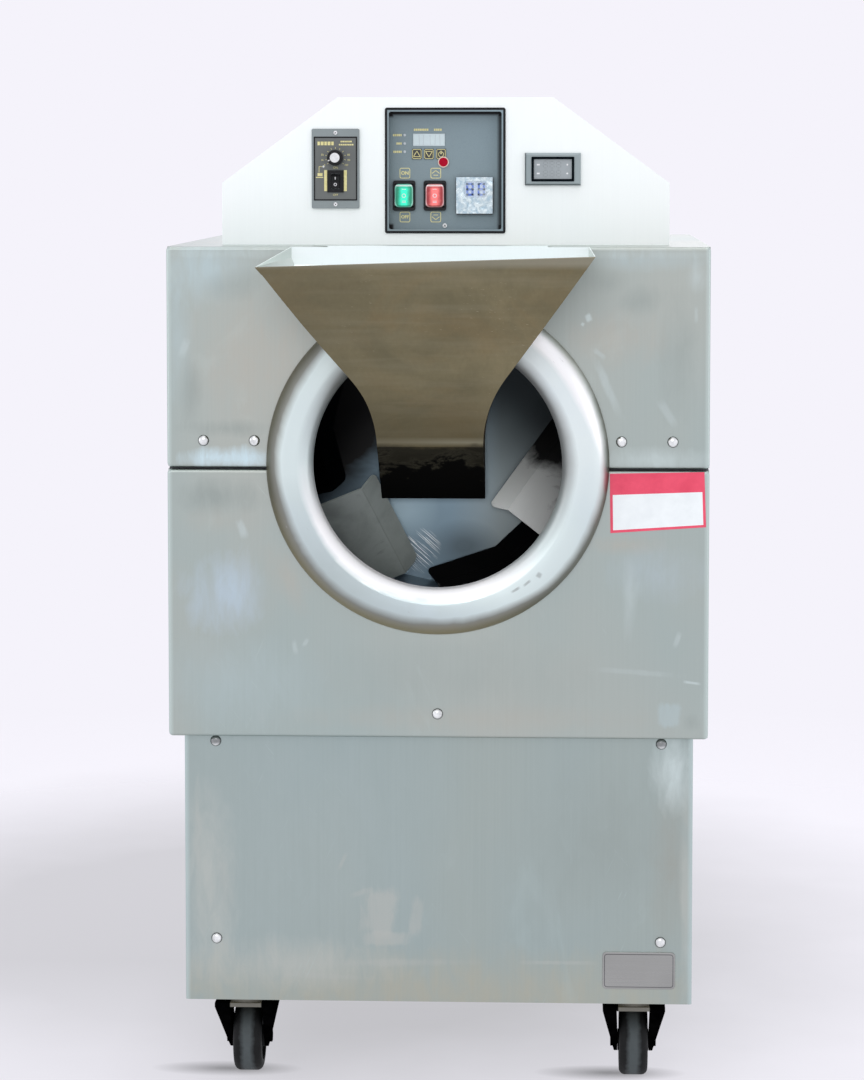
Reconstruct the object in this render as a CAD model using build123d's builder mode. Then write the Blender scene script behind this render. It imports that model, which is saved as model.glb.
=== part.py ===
from build123d import *
from math import cos, radians, sin
import os

# Electric drum roaster for cocoa beans, in millimetres.
# +Z is up, the mouth of the drum faces -Y, and the origin is on the floor under the middle of the machine.

# Sheet metal and fits
SHEET = 1.5                  # casing and cabinet panels
BEND_R = 4.0                 # outer radius of a folded panel edge
CORNER_R = 5.0               # corners of the folded front panels
RETURN_DEPTH = 13.5          # folded return behind a front panel
SEAM_GAP = 3.0               # open joint between the hood and the tub
SHAFT_FIT = 0.05             # radial play of shafts and pins in their bores
HOLE_PLAY = 0.3              # play around screws and around what passes through a cut-out
RUN_GAP = 0.5                # gap beside parts that turn or slide

# Casing around the drum
CASING_W = 680.0
CASING_H = 618.0
CASING_D = 720.0
HOOD_H = 278.0               # hood from its seam with the tub to the casing top
AXIS_OVER_SEAM = 6.5         # drum axis above the seam
TUB_FLOOR_T = 2.0

# Cabinet under the casing
CABINET_H = 342.0
CABINET_SETBACK = 15.0       # cabinet front behind the casing front
CABINET_SIDE_SETBACK = 18.0  # cabinet sides inside the casing sides
CABINET_REAR_SETBACK = 15.0  # cabinet rear before the casing rear
CABINET_FLOOR_T = 3.0

# Corner posts of rolled angle
POST_LEG = 50.0
POST_T = 3.0

# Dome-headed screws
SCREW_R = 4.0
SCREW_HEAD_R = 7.0
SCREW_HEAD_H = 4.0
SCREW_DOME_R = 3.5
SCREW_GRIP = 7.0             # thread beyond the panel into the frame
HOOD_SCREW_INSET = 46.0      # outer screws from the side edge of the casing
HOOD_SCREW_PITCH = 64.0      # from the outer to the inner screws
HOOD_SCREW_RISE = 35.0       # above the seam
TUB_SCREW_RISE = 30.5        # above the lower edge of the casing
CABINET_SCREW_INSET = 40.0   # from the side edge of the cabinet
CABINET_SCREW_LOW = 79.5     # above the lower edge of the cabinet
CABINET_SCREW_TOP = 8.5      # below the upper edge of the cabinet
REAR_SCREW_INSET = 26.0      # from the side edge of the casing
REAR_SCREW_EDGE = 45.0       # from the upper and lower edges of a rear panel

# Vent slots in the rear panels
VENT_L = 60.0
VENT_H = 8.0
VENT_PITCH_X = 80.0
VENT_PITCH_Z = 22.0
VENT_ROWS = 5
VENT_COLUMNS = 3

# Casters
CASTER_H = 118.0
CASTER_INSET = 72.0          # caster centres from the cabinet's sides
CASTER_EDGE = 72.0           # caster centres from the cabinet's front and rear
CASTER_PLATE = 86.0
CASTER_PLATE_T = 4.0
CASTER_HOLE_PITCH = 62.0
CASTER_BOLT_R = 4.0
CASTER_BOLT_HEAD_R = 6.5
CASTER_BOLT_HEAD_H = 5.0
CASTER_TRAIL = 28.0
CASTER_CUP_R = 28.0
CASTER_CUP_H = 6.0
KINGPIN_R = 7.0
KINGPIN_HEAD_R = 10.0
KINGPIN_HEAD_H = 3.0
FORK_CROWN_T = 5.0
FORK_CUP_R = 25.0
FORK_CUP_H = 6.0
FORK_TOP_W = 80.0
FORK_CROWN_L = 56.0          # crown along the direction of travel
FORK_LEG_T = 4.0             # leg at its lower end
FORK_LEG_TOP_T = 18.0        # leg where it flares under the crown
FORK_EYE_R = 14.0
WHEEL_R = 44.5
WHEEL_W = 37.0
WHEEL_HUB_R = 14.0
WHEEL_HUB_PROUD = 1.5
WHEEL_CORE_R = 31.0
WHEEL_CORE_DISH = 4.0
TYRE_EDGE_R = 8.0
AXLE_R = 5.0
AXLE_HEAD_R = 8.5
AXLE_HEAD_H = 5.0
AXLE_SEAT_GAP = 1.0          # seat in the leg around the axle's head

# Mouth ring on the casing front
RING_R = 215.0
RING_MOUTH_R = 156.0
RING_PROUD = 32.0
RING_CROWN_R = 174.0         # the ring stands proudest here
RING_ROLL = 18.0             # depth over which it rolls into the mouth
RING_T = 1.5
RING_FLANGE = 18.0           # flat back flange against the front panels
RING_LIP = 4.0               # inner edge reaching into the casing
MOUTH_CUT_R = 175.0          # cut-out of the front panels behind the ring

# Bulkheads and roasting chamber
FRONT_BULKHEAD_T = 3.0
REAR_BULKHEAD_T = 6.0
DRIVE_SPACE = 200.0          # from the rear bulkhead to the casing's rear
LINER_R = 243.0
LINER_T = 1.5
INSULATION_T = 22.0
HEATER_R = 5.0
HEATER_CIRCLE_R = 226.0
HEATER_COUNT = 7
HEATER_FIRST_ANGLE = 195.0   # degrees from +X, over the lower half
HEATER_LAST_ANGLE = 345.0
HEATER_TAIL = 22.0           # terminal behind the rear bulkhead
PROBE_R = 3.0
PROBE_L = 90.0
PROBE_HEAD_R = 9.0
PROBE_HEAD_L = 26.0
PROBE_ANGLE = 180.0

# Drum
DRUM_R = 210.0
DRUM_WALL = 2.0
DRUM_BACK_T = 3.0
NECK_R = 165.0
NECK_START = 7.0             # behind the casing front
NECK_L = 13.0
CONE_L = 60.0
HUB_SPACE = 54.0             # from the drum's back to the rear bulkhead
BULKHEAD_HOLE_GAP = 7.0      # around the drum neck
HUB_FLANGE_R = 75.0
HUB_FLANGE_T = 8.0
HUB_BOSS_R = 34.0
HUB_BOSS_L = 30.0
SHAFT_R = 17.5

# Lifting vanes inside the drum
VANE_T = 2.0
VANE_PITCH_ANGLE = 42.0      # of the vane across the drum
VANE_LIP = 28.0
VANE_LIP_ANGLE = 40.0
VANE_LIP_R = 8.0             # corners of the lip
VANE_WALL_GAP = 0.3
VANES_PER_ROW = 3
FRONT_VANE_L = 180.0
FRONT_VANE_FOLD_R = 110.0    # fold from the drum axis
FRONT_VANE_DEPTH = 99.0      # row behind the casing front
FRONT_VANE_ANGLE = 202.0
REAR_VANE_L = 135.0
REAR_VANE_FOLD_R = 177.0
REAR_VANE_DEPTH = 290.0
REAR_VANE_ANGLE = 283.0
REAR_ROWS = 2
REAR_ROW_PITCH = 108.0
REAR_ROW_ANGLE = 27.0        # from one rear row to the next

# Bearings and belt drive
BEARING_FLANGE = 118.0
BEARING_FLANGE_T = 14.0
BEARING_CORNER_R = 20.0
BEARING_BOSS_R = 42.0
BEARING_BOSS_L = 16.0
BEARING_SPAN = 92.0          # between the seats of the two bearings
BRACKET_T = 6.0
BRACKET_FOOT = 30.0
BRACKET_W = 170.0
BRACKET_H = 126.0
SHAFT_HOLE_GAP = 7.0
PULLEY_GAP = 7.0             # from the rear bearing to the drum pulley
DRUM_PULLEY_R = 90.0
MOTOR_PULLEY_R = 36.0
PULLEY_FLANGE = 6.0          # flange above the belt seat
PULLEY_FLANGE_T = 4.0
BELT_W = 20.0
BELT_T = 4.0
BELT_GAP = 0.3
BELT_SLOT_GAP = 10.0
SHAFT_TAIL = 5.0             # shaft past the pulley

# Gearmotor in the cabinet
GEARBOX_W = 130.0
GEARBOX_L = 110.0
GEARBOX_AXIS_H = 92.0        # output shaft above the cabinet floor
GEARBOX_TOP = 68.0           # housing above the output shaft
GEARBOX_FOOT_W = 180.0
GEARBOX_FOOT_T = 10.0
GEARBOX_EDGE_R = 8.0
GEARBOX_NOSE_R = 40.0
GEARBOX_NOSE_L = 12.0
GEARBOX_CLEAR = 10.0         # from the motor pulley to the nose
OUTPUT_SHAFT_R = 12.0
OUTPUT_SHAFT_SEAT = 30.0     # shaft inside the gearbox
MOTOR_R = 62.0
MOTOR_L = 190.0
MOTOR_COWL_R = 66.0
MOTOR_COWL_L = 40.0
MOTOR_EDGE_R = 6.0
TERMINAL_BOX = 70.0
TERMINAL_BOX_H = 32.0

# Mains inlet
GLAND_INSET = 102.0          # from the side of the cabinet
GLAND_RISE = 70.0
GLAND_BORE_R = 5.0
GLAND_THREAD_R = 10.0
GLAND_HEX_R = 14.0
GLAND_HEX_L = 9.0
GLAND_DOME_R = 12.0
GLAND_DOME_L = 19.0
GLAND_NUT_L = 7.0
GLAND_EDGE_R = 3.0

# Hopper
HOPPER_T = 1.2
HOPPER_X = -8.0              # hung a little left of the middle
HOPPER_W = 407.0
HOPPER_REACH = 175.0         # lip in front of the casing
HOPPER_LIP_DROP = 13.5       # lip below the casing top
HOPPER_WALL_GAP = 3.0        # back wall in front of the casing
HOPPER_BACK_STEP = 23.0      # upright top of the back wall
HOPPER_RING_GAP = 5.0        # back wall in front of the mouth ring
HOPPER_RING_RISE = 11.0      # back wall turns above the ring
SPOUT_W = 132.0
FLARE_SLOPE = 0.745          # how fast the sides close in below the lip
FLARE_R = 150.0
CREASE_DEPTH = -30.0         # fold of the front plate, behind the casing front
CREASE_RISE = 24.0           # and above the drum axis
SPOUT_DEPTH = 72.0
SPOUT_DROP = 51.0
SPOUT_TOP_DEPTH = 60.0
SPOUT_TOP_RISE = 45.0
THROAT_DROP = 45.0           # upper wall of the throat below the ring mouth
HEM_H = 11.0
HEM_T = 1.5
HOOK_W = 300.0
HOOK_L = 24.0
HOOK_TAB = 8.0               # hook welded to the back wall over this height
HOPPER_OPEN = 12.0           # how far the inside is cut past both ends

# Control housing on the casing top
PANEL_X = 5.5                # a little right of the middle
PANEL_W = 572.0
PANEL_H = 188.0
PANEL_TOP_W = 275.0
PANEL_SIDE_H = 79.0
PANEL_SETBACK = 105.0
HOUSING_D = 110.0

# Control tray
TRAY_W = 154.0
TRAY_H = 160.0
TRAY_RISE = 94.7             # centre above the casing top, in the middle of the panel
TRAY_RIM = 5.0
TRAY_RIM_T = 2.0
TRAY_WALL = 2.0
TRAY_DEPTH = 16.0
TRAY_EDGE_R = 3.0

# Rocker switches
ROCKER_W = 24.0
ROCKER_R = 15.0
ROCKER_PROUD = 9.0           # ends of the rocker in front of its pivot
ROCKER_VALLEY = 3.0          # middle of the rocker below its ends
ROCKER_FRAME_W = 29.0
ROCKER_FRAME_H = 38.7
ROCKER_FRAME_T = 3.0
ROCKER_BODY_WALL = 1.2
ROCKER_BODY_L = 22.0
ROCKER_GAP = 0.4
POWER_ROCKER_SHIFT = -53.3   # from the middle of the tray
DIRECTION_ROCKER_SHIFT = -13.7
ROCKER_DROP = 32.1           # below the middle of the tray

# Keys and window of the process display
KEY_W = 12.2
KEY_H = 13.0
KEY_PROUD = 1.2
KEY_FLANGE = 1.2
KEY_FLANGE_T = 1.5
KEY_GAP = 0.2
KEY_LIFT = 21.1              # above the middle of the tray
KEY_SHIFT = -21.4
KEY_PITCH = 15.5
WINDOW_W = 41.0
WINDOW_H = 16.0
WINDOW_LIFT = 39.3
WINDOW_PROUD = 0.6
WINDOW_EDGE = 1.0

# Temperature controller in the tray
CONTROLLER = 48.0
CONTROLLER_T = 6.0
CONTROLLER_BODY = 44.5
CONTROLLER_BODY_L = 70.0
CONTROLLER_SHIFT = 37.0
CONTROLLER_DROP = 32.2
CONTROLLER_EDGE_R = 2.0
CONTROLLER_FACE = 3.0        # rim around the sunken face
CONTROLLER_SINK = 1.0

# Speed controller
SPEED_W = 61.0
SPEED_H = 101.5
SPEED_T = 4.0
SPEED_SHIFT = -140.0         # from the middle of the panel
SPEED_RISE = 97.2            # above the casing top
SPEED_BODY_W = 50.0
SPEED_BODY_H = 88.0
SPEED_BODY_L = 62.0
SPEED_EDGE_R = 2.0
KNOB_R = 10.0
KNOB_L = 13.0
KNOB_CAP_R = 7.0
KNOB_CAP_L = 1.5
KNOB_EDGE_R = 1.0
KNOB_STEM_R = 3.0
KNOB_STEM_L = 16.0
KNOB_RISE = 13.8             # above the middle of the plate
RUN_ROCKER_W = 10.0
RUN_ROCKER_R = 9.0
RUN_ROCKER_PROUD = 5.0
RUN_ROCKER_VALLEY = 1.5
RUN_ROCKER_TILT = 12.0       # degrees, at rest in its stop position
RUN_ROCKER_DROP = 16.2       # below the middle of the plate
RUN_FRAME_W = 21.0
RUN_FRAME_H = 28.0
RUN_FRAME_T = 1.5

# Digital temperature display
READOUT_W = 71.0
READOUT_H = 41.2
READOUT_T = 7.0
READOUT_SHIFT = 137.3        # from the middle of the panel
READOUT_RISE = 96.6
READOUT_BODY_W = 64.0
READOUT_BODY_H = 34.0
READOUT_BODY_L = 40.0
READOUT_GLASS_W = 49.0
READOUT_GLASS_H = 25.5
READOUT_SINK = 1.5
READOUT_EDGE_R = 2.5

# Levels and depths that follow from the sizes above
CABINET_W = CASING_W - 2 * CABINET_SIDE_SETBACK
CABINET_D = CASING_D - CABINET_SETBACK - CABINET_REAR_SETBACK
CASTER_X = CABINET_W / 2 - CASTER_INSET
HOOD_SCREW_OUTER_X = CASING_W / 2 - HOOD_SCREW_INSET
HOOD_SCREW_INNER_X = HOOD_SCREW_OUTER_X - HOOD_SCREW_PITCH
GLAND_X = GLAND_INSET - CABINET_W / 2
CABINET_Z = CASTER_H
CASING_Z = CABINET_Z + CABINET_H
TOP_Z = CASING_Z + CASING_H
SEAM_Z = TOP_Z - HOOD_H
AXIS_Z = SEAM_Z + AXIS_OVER_SEAM
TUB_Z = CASING_Z + TUB_FLOOR_T
GLAND_REACH = GLAND_HEX_L + GLAND_DOME_L
REAR_END = max(CASING_D + SCREW_HEAD_H, CABINET_SETBACK + CABINET_D + GLAND_REACH)
TOP_RISE = TOP_Z - AXIS_Z
LIP = Vector(-HOPPER_REACH, TOP_RISE - HOPPER_LIP_DROP)
CREASE = Vector(CREASE_DEPTH, CREASE_RISE)
HOPPER_SLOPE = (CREASE - LIP).normalized()
HEM_WAY = Vector(HOPPER_SLOPE.Y, -HOPPER_SLOPE.X)
FRONT_END = HOPPER_REACH - HEM_WAY.X * HEM_T
FRONT_Y = (FRONT_END - REAR_END) / 2
CABINET_FRONT_Y = FRONT_Y + CABINET_SETBACK
BULKHEAD_BACK = RETURN_DEPTH + FRONT_BULKHEAD_T
REAR_BULKHEAD = CASING_D - DRIVE_SPACE
CHAMBER_L = REAR_BULKHEAD - BULKHEAD_BACK
BEARING_SEAT = REAR_BULKHEAD + REAR_BULKHEAD_T
REAR_BEARING_SEAT = BEARING_SEAT + BEARING_SPAN
BEARING_L = BEARING_FLANGE_T + BEARING_BOSS_L
PULLEY_W = BELT_W + 2 * RUN_GAP + 2 * PULLEY_FLANGE_T
PULLEY_START = REAR_BEARING_SEAT + BEARING_L + PULLEY_GAP
PULLEY_END = PULLEY_START + PULLEY_W
BELT_START = PULLEY_START + PULLEY_FLANGE_T + RUN_GAP
MOTOR_AXIS_Z = CABINET_Z + CABINET_FLOOR_T + GEARBOX_AXIS_H
GEARBOX_FACE = PULLEY_START - GEARBOX_CLEAR - GEARBOX_NOSE_L
DRUM_BACK = REAR_BULKHEAD - HUB_SPACE
PANEL_BACK = PANEL_SETBACK + SHEET
TRAY_FLOOR = PANEL_SETBACK + TRAY_DEPTH
POWER_ROCKER_X = PANEL_X + POWER_ROCKER_SHIFT
DIRECTION_ROCKER_X = PANEL_X + DIRECTION_ROCKER_SHIFT
ROCKER_RISE = TRAY_RISE - ROCKER_DROP
KEY_MIDDLE_X = PANEL_X + KEY_SHIFT
KEY_RISE = TRAY_RISE + KEY_LIFT
WINDOW_RISE = TRAY_RISE + WINDOW_LIFT
CONTROLLER_X = PANEL_X + CONTROLLER_SHIFT
CONTROLLER_RISE = TRAY_RISE - CONTROLLER_DROP
SPEED_X = PANEL_X + SPEED_SHIFT
READOUT_X = PANEL_X + READOUT_SHIFT

CASTER_CENTRES = [
    (side * CASTER_X, y)
    for y in (CABINET_FRONT_Y + CASTER_EDGE, CABINET_FRONT_Y + CABINET_D - CASTER_EDGE)
    for side in (-1, 1)
]
CASTER_NAMES = ["front_left", "front_right", "rear_left", "rear_right"]
LOW_CORNER = (Align.CENTER, Align.MIN, Align.MIN)

# Radius against depth behind the casing front, for everything turned about the drum axis
TURNING_PLANE = Plane(origin=(0, FRONT_Y, AXIS_Z), x_dir=(0, 1, 0), z_dir=(1, 0, 0))
DRUM_AXIS = Axis((0, FRONT_Y, AXIS_Z), (0, 1, 0))


def front_plane(depth, z=0.0, x=0.0):
    """Plane that faces the front, a depth behind the casing front."""
    return Plane(origin=(x, FRONT_Y + depth, z), x_dir=(1, 0, 0), z_dir=(0, -1, 0))


def rear_plane(depth, z=0.0, x=0.0):
    """Plane that faces the rear, a depth behind the casing front."""
    return Plane(origin=(x, FRONT_Y + depth, z), x_dir=(-1, 0, 0), z_dir=(0, 1, 0))


os.makedirs("parts", exist_ok=True)


def write(part, name):
    """Label one finished piece and write it to its own file."""
    part.label = name
    export_step(part, f"parts/{name}.step")


def screw_holes(plane, points, depth):
    """Drill the screw holes of a panel from its outer face."""
    with BuildSketch(plane) as holes:
        with Locations(*points):
            Circle(SCREW_R + HOLE_PLAY)
    extrude(holes.sketch, amount=-depth, mode=Mode.SUBTRACT)


def dome_screws(plane, points, grip):
    """Dome-headed screws on one face, each a solid of its own."""
    with BuildPart() as screws:
        with BuildSketch(plane):
            with Locations(*points):
                Circle(SCREW_R)
        extrude(amount=-grip)
        with BuildSketch(plane):
            with Locations(*points):
                Circle(SCREW_HEAD_R)
        extrude(amount=SCREW_HEAD_H)
        outward = Axis(plane.origin, plane.z_dir)
        fillet(screws.edges().filter_by(GeomType.CIRCLE).group_by(outward)[-1], SCREW_DOME_R)
    return screws.part


def corner_points(half_width, low, high):
    """Four screw points, the same distance either side of the middle."""
    return [(side * half_width, z) for side in (-1, 1) for z in (low, high)]


# Screw positions, measured on the face that they hold
HOOD_POINTS = [
    (side * x, SEAM_Z + HOOD_SCREW_RISE) for side in (-1, 1) for x in (HOOD_SCREW_OUTER_X, HOOD_SCREW_INNER_X)
]
TUB_POINTS = [(0, CASING_Z + TUB_SCREW_RISE)]
CABINET_POINTS = corner_points(
    CABINET_W / 2 - CABINET_SCREW_INSET, CABINET_Z + CABINET_SCREW_LOW, CASING_Z - CABINET_SCREW_TOP
)
TUB_REAR_POINTS = corner_points(
    CASING_W / 2 - REAR_SCREW_INSET, CASING_Z + REAR_SCREW_EDGE, SEAM_Z - REAR_SCREW_EDGE
)
HOOD_REAR_POINTS = corner_points(
    CASING_W / 2 - REAR_SCREW_INSET, SEAM_Z + REAR_SCREW_EDGE, TOP_Z - REAR_SCREW_EDGE
)


# Cabinet floor, carried by the casters
with BuildPart() as cabinet_floor:
    with Locations((0, CABINET_FRONT_Y + SHEET, CABINET_Z)):
        Box(CABINET_W - 2 * SHEET, CABINET_D - 2 * SHEET, CABINET_FLOOR_T, align=LOW_CORNER)
    with BuildSketch(Plane.XY.offset(CABINET_Z)):
        with Locations(*CASTER_CENTRES):
            with GridLocations(CASTER_HOLE_PITCH, CASTER_HOLE_PITCH, 2, 2):
                Circle(CASTER_BOLT_R + HOLE_PLAY)
    extrude(amount=CABINET_FLOOR_T, mode=Mode.SUBTRACT)
write(cabinet_floor.part, "cabinet_floor")


# Cabinet front with folded sides, and cabinet rear, screwed to the posts
with BuildPart() as cabinet_front_panel:
    with Locations((0, CABINET_FRONT_Y, CABINET_Z)):
        Box(CABINET_W, RETURN_DEPTH, CABINET_H, align=LOW_CORNER)
    fillet(cabinet_front_panel.edges().filter_by(Axis.Z).group_by(Axis.Y)[0], BEND_R)
    with Locations((0, CABINET_FRONT_Y + SHEET, CABINET_Z)):
        Box(CABINET_W - 2 * SHEET, RETURN_DEPTH, CABINET_H, align=LOW_CORNER, mode=Mode.SUBTRACT)
    screw_holes(front_plane(CABINET_SETBACK), CABINET_POINTS, SHEET)
write(cabinet_front_panel.part, "cabinet_front_panel")

CABINET_REAR = CABINET_SETBACK + CABINET_D
with BuildPart() as cabinet_rear_panel:
    with Locations((0, FRONT_Y + CABINET_REAR - SHEET, CABINET_Z)):
        Box(CABINET_W, SHEET, CABINET_H, align=LOW_CORNER)
    screw_holes(rear_plane(CABINET_REAR), CABINET_POINTS, SHEET)
    with BuildSketch(rear_plane(CABINET_REAR, CABINET_Z + CABINET_H / 2)):
        with GridLocations(VENT_PITCH_X, VENT_PITCH_Z, VENT_COLUMNS, VENT_ROWS):
            SlotOverall(VENT_L, VENT_H)
    extrude(amount=-SHEET, mode=Mode.SUBTRACT)
    with BuildSketch(front_plane(CABINET_REAR, CABINET_Z + GLAND_RISE, GLAND_X)):
        Circle(GLAND_THREAD_R + HOLE_PLAY)
    extrude(amount=SHEET, mode=Mode.SUBTRACT)
write(cabinet_rear_panel.part, "cabinet_rear_panel")


# Cabinet side panels, between the front and the rear
for side, name in ((-1, "cabinet_left_panel"), (1, "cabinet_right_panel")):
    with BuildPart() as cabinet_side_panel:
        with Locations((side * (CABINET_W - SHEET) / 2, CABINET_FRONT_Y + RETURN_DEPTH, CABINET_Z)):
            Box(SHEET, CABINET_D - RETURN_DEPTH - SHEET, CABINET_H, align=LOW_CORNER)
    write(cabinet_side_panel.part, name)


# Angle posts in the corners of the cabinet and of the casing, drilled for the screws
def angle_post(corner, turn, low, high):
    """One angle post, its outer corner at a point, its legs turned inwards."""
    across = turn[0] * POST_LEG
    along = turn[1] * POST_LEG
    thick_x = turn[0] * POST_T
    thick_y = turn[1] * POST_T
    with BuildSketch(Plane(origin=(corner[0], corner[1], low))) as section:
        with BuildLine():
            Polyline(
                (0, 0),
                (across, 0),
                (across, thick_y),
                (thick_x, thick_y),
                (thick_x, along),
                (0, along),
                close=True,
            )
        make_face()
    extrude(section.sketch, amount=high - low, dir=(0, 0, 1))


with BuildPart() as frame_posts:
    cabinet_foot = CABINET_Z + CABINET_FLOOR_T
    for side in (-1, 1):
        cabinet_corner = side * (CABINET_W / 2 - SHEET)
        angle_post((cabinet_corner, CABINET_FRONT_Y + SHEET), (-side, 1), cabinet_foot, CASING_Z)
        angle_post((cabinet_corner, FRONT_Y + CABINET_REAR - SHEET), (-side, -1), cabinet_foot, CASING_Z)
        casing_corner = side * (CASING_W / 2 - SHEET)
        angle_post((casing_corner, FRONT_Y + BULKHEAD_BACK), (-side, 1), TUB_Z, TOP_Z - SHEET)
        angle_post((casing_corner, FRONT_Y + CASING_D - SHEET), (-side, -1), TUB_Z, TOP_Z - SHEET)
    screw_holes(front_plane(CABINET_SETBACK), CABINET_POINTS, SHEET + POST_T)
    screw_holes(rear_plane(CABINET_REAR), CABINET_POINTS, SHEET + POST_T)
    screw_holes(front_plane(0), HOOD_POINTS, BULKHEAD_BACK + SCREW_GRIP)
    screw_holes(rear_plane(CASING_D), TUB_REAR_POINTS + HOOD_REAR_POINTS, SHEET + POST_T)
write(frame_posts.part, "frame_posts")


# Caster plates with their kingpins, bolted under the cabinet floor
PLATE_Z = CABINET_Z - CASTER_PLATE_T
CUP_Z = PLATE_Z - CASTER_CUP_H
FORK_CUP_Z = CUP_Z - RUN_GAP - FORK_CUP_H
CROWN_Z = FORK_CUP_Z - FORK_CROWN_T
with BuildPart() as caster_plates:
    with BuildSketch(Plane.XY.offset(PLATE_Z)):
        with Locations(*CASTER_CENTRES):
            Rectangle(CASTER_PLATE, CASTER_PLATE)
            with GridLocations(CASTER_HOLE_PITCH, CASTER_HOLE_PITCH, 2, 2):
                Circle(CASTER_BOLT_R + HOLE_PLAY, mode=Mode.SUBTRACT)
    extrude(amount=CASTER_PLATE_T)
    with BuildSketch(Plane.XY.offset(CUP_Z)):
        with Locations(*CASTER_CENTRES):
            Circle(CASTER_CUP_R)
    extrude(amount=CASTER_CUP_H)
    with BuildSketch(Plane.XY.offset(CUP_Z)):
        with Locations(*CASTER_CENTRES):
            Circle(KINGPIN_R)
    extrude(amount=-(CUP_Z - CROWN_Z + RUN_GAP))
    with BuildSketch(Plane.XY.offset(CROWN_Z - RUN_GAP)):
        with Locations(*CASTER_CENTRES):
            Circle(KINGPIN_HEAD_R)
    extrude(amount=-KINGPIN_HEAD_H)
write(caster_plates.part, "caster_plates")


# Caster bolts with their nuts above the floor
with BuildPart() as caster_bolts:
    floor_top = CABINET_Z + CABINET_FLOOR_T
    for z in (PLATE_Z - CASTER_BOLT_HEAD_H, floor_top):
        with BuildSketch(Plane.XY.offset(z)):
            with Locations(*CASTER_CENTRES):
                with GridLocations(CASTER_HOLE_PITCH, CASTER_HOLE_PITCH, 2, 2):
                    RegularPolygon(CASTER_BOLT_HEAD_R, 6)
        extrude(amount=CASTER_BOLT_HEAD_H)
    with BuildSketch(Plane.XY.offset(PLATE_Z)):
        with Locations(*CASTER_CENTRES):
            with GridLocations(CASTER_HOLE_PITCH, CASTER_HOLE_PITCH, 2, 2):
                Circle(CASTER_BOLT_R)
    extrude(amount=CASTER_PLATE_T + CABINET_FLOOR_T)
write(caster_bolts.part, "caster_bolts")


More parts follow.
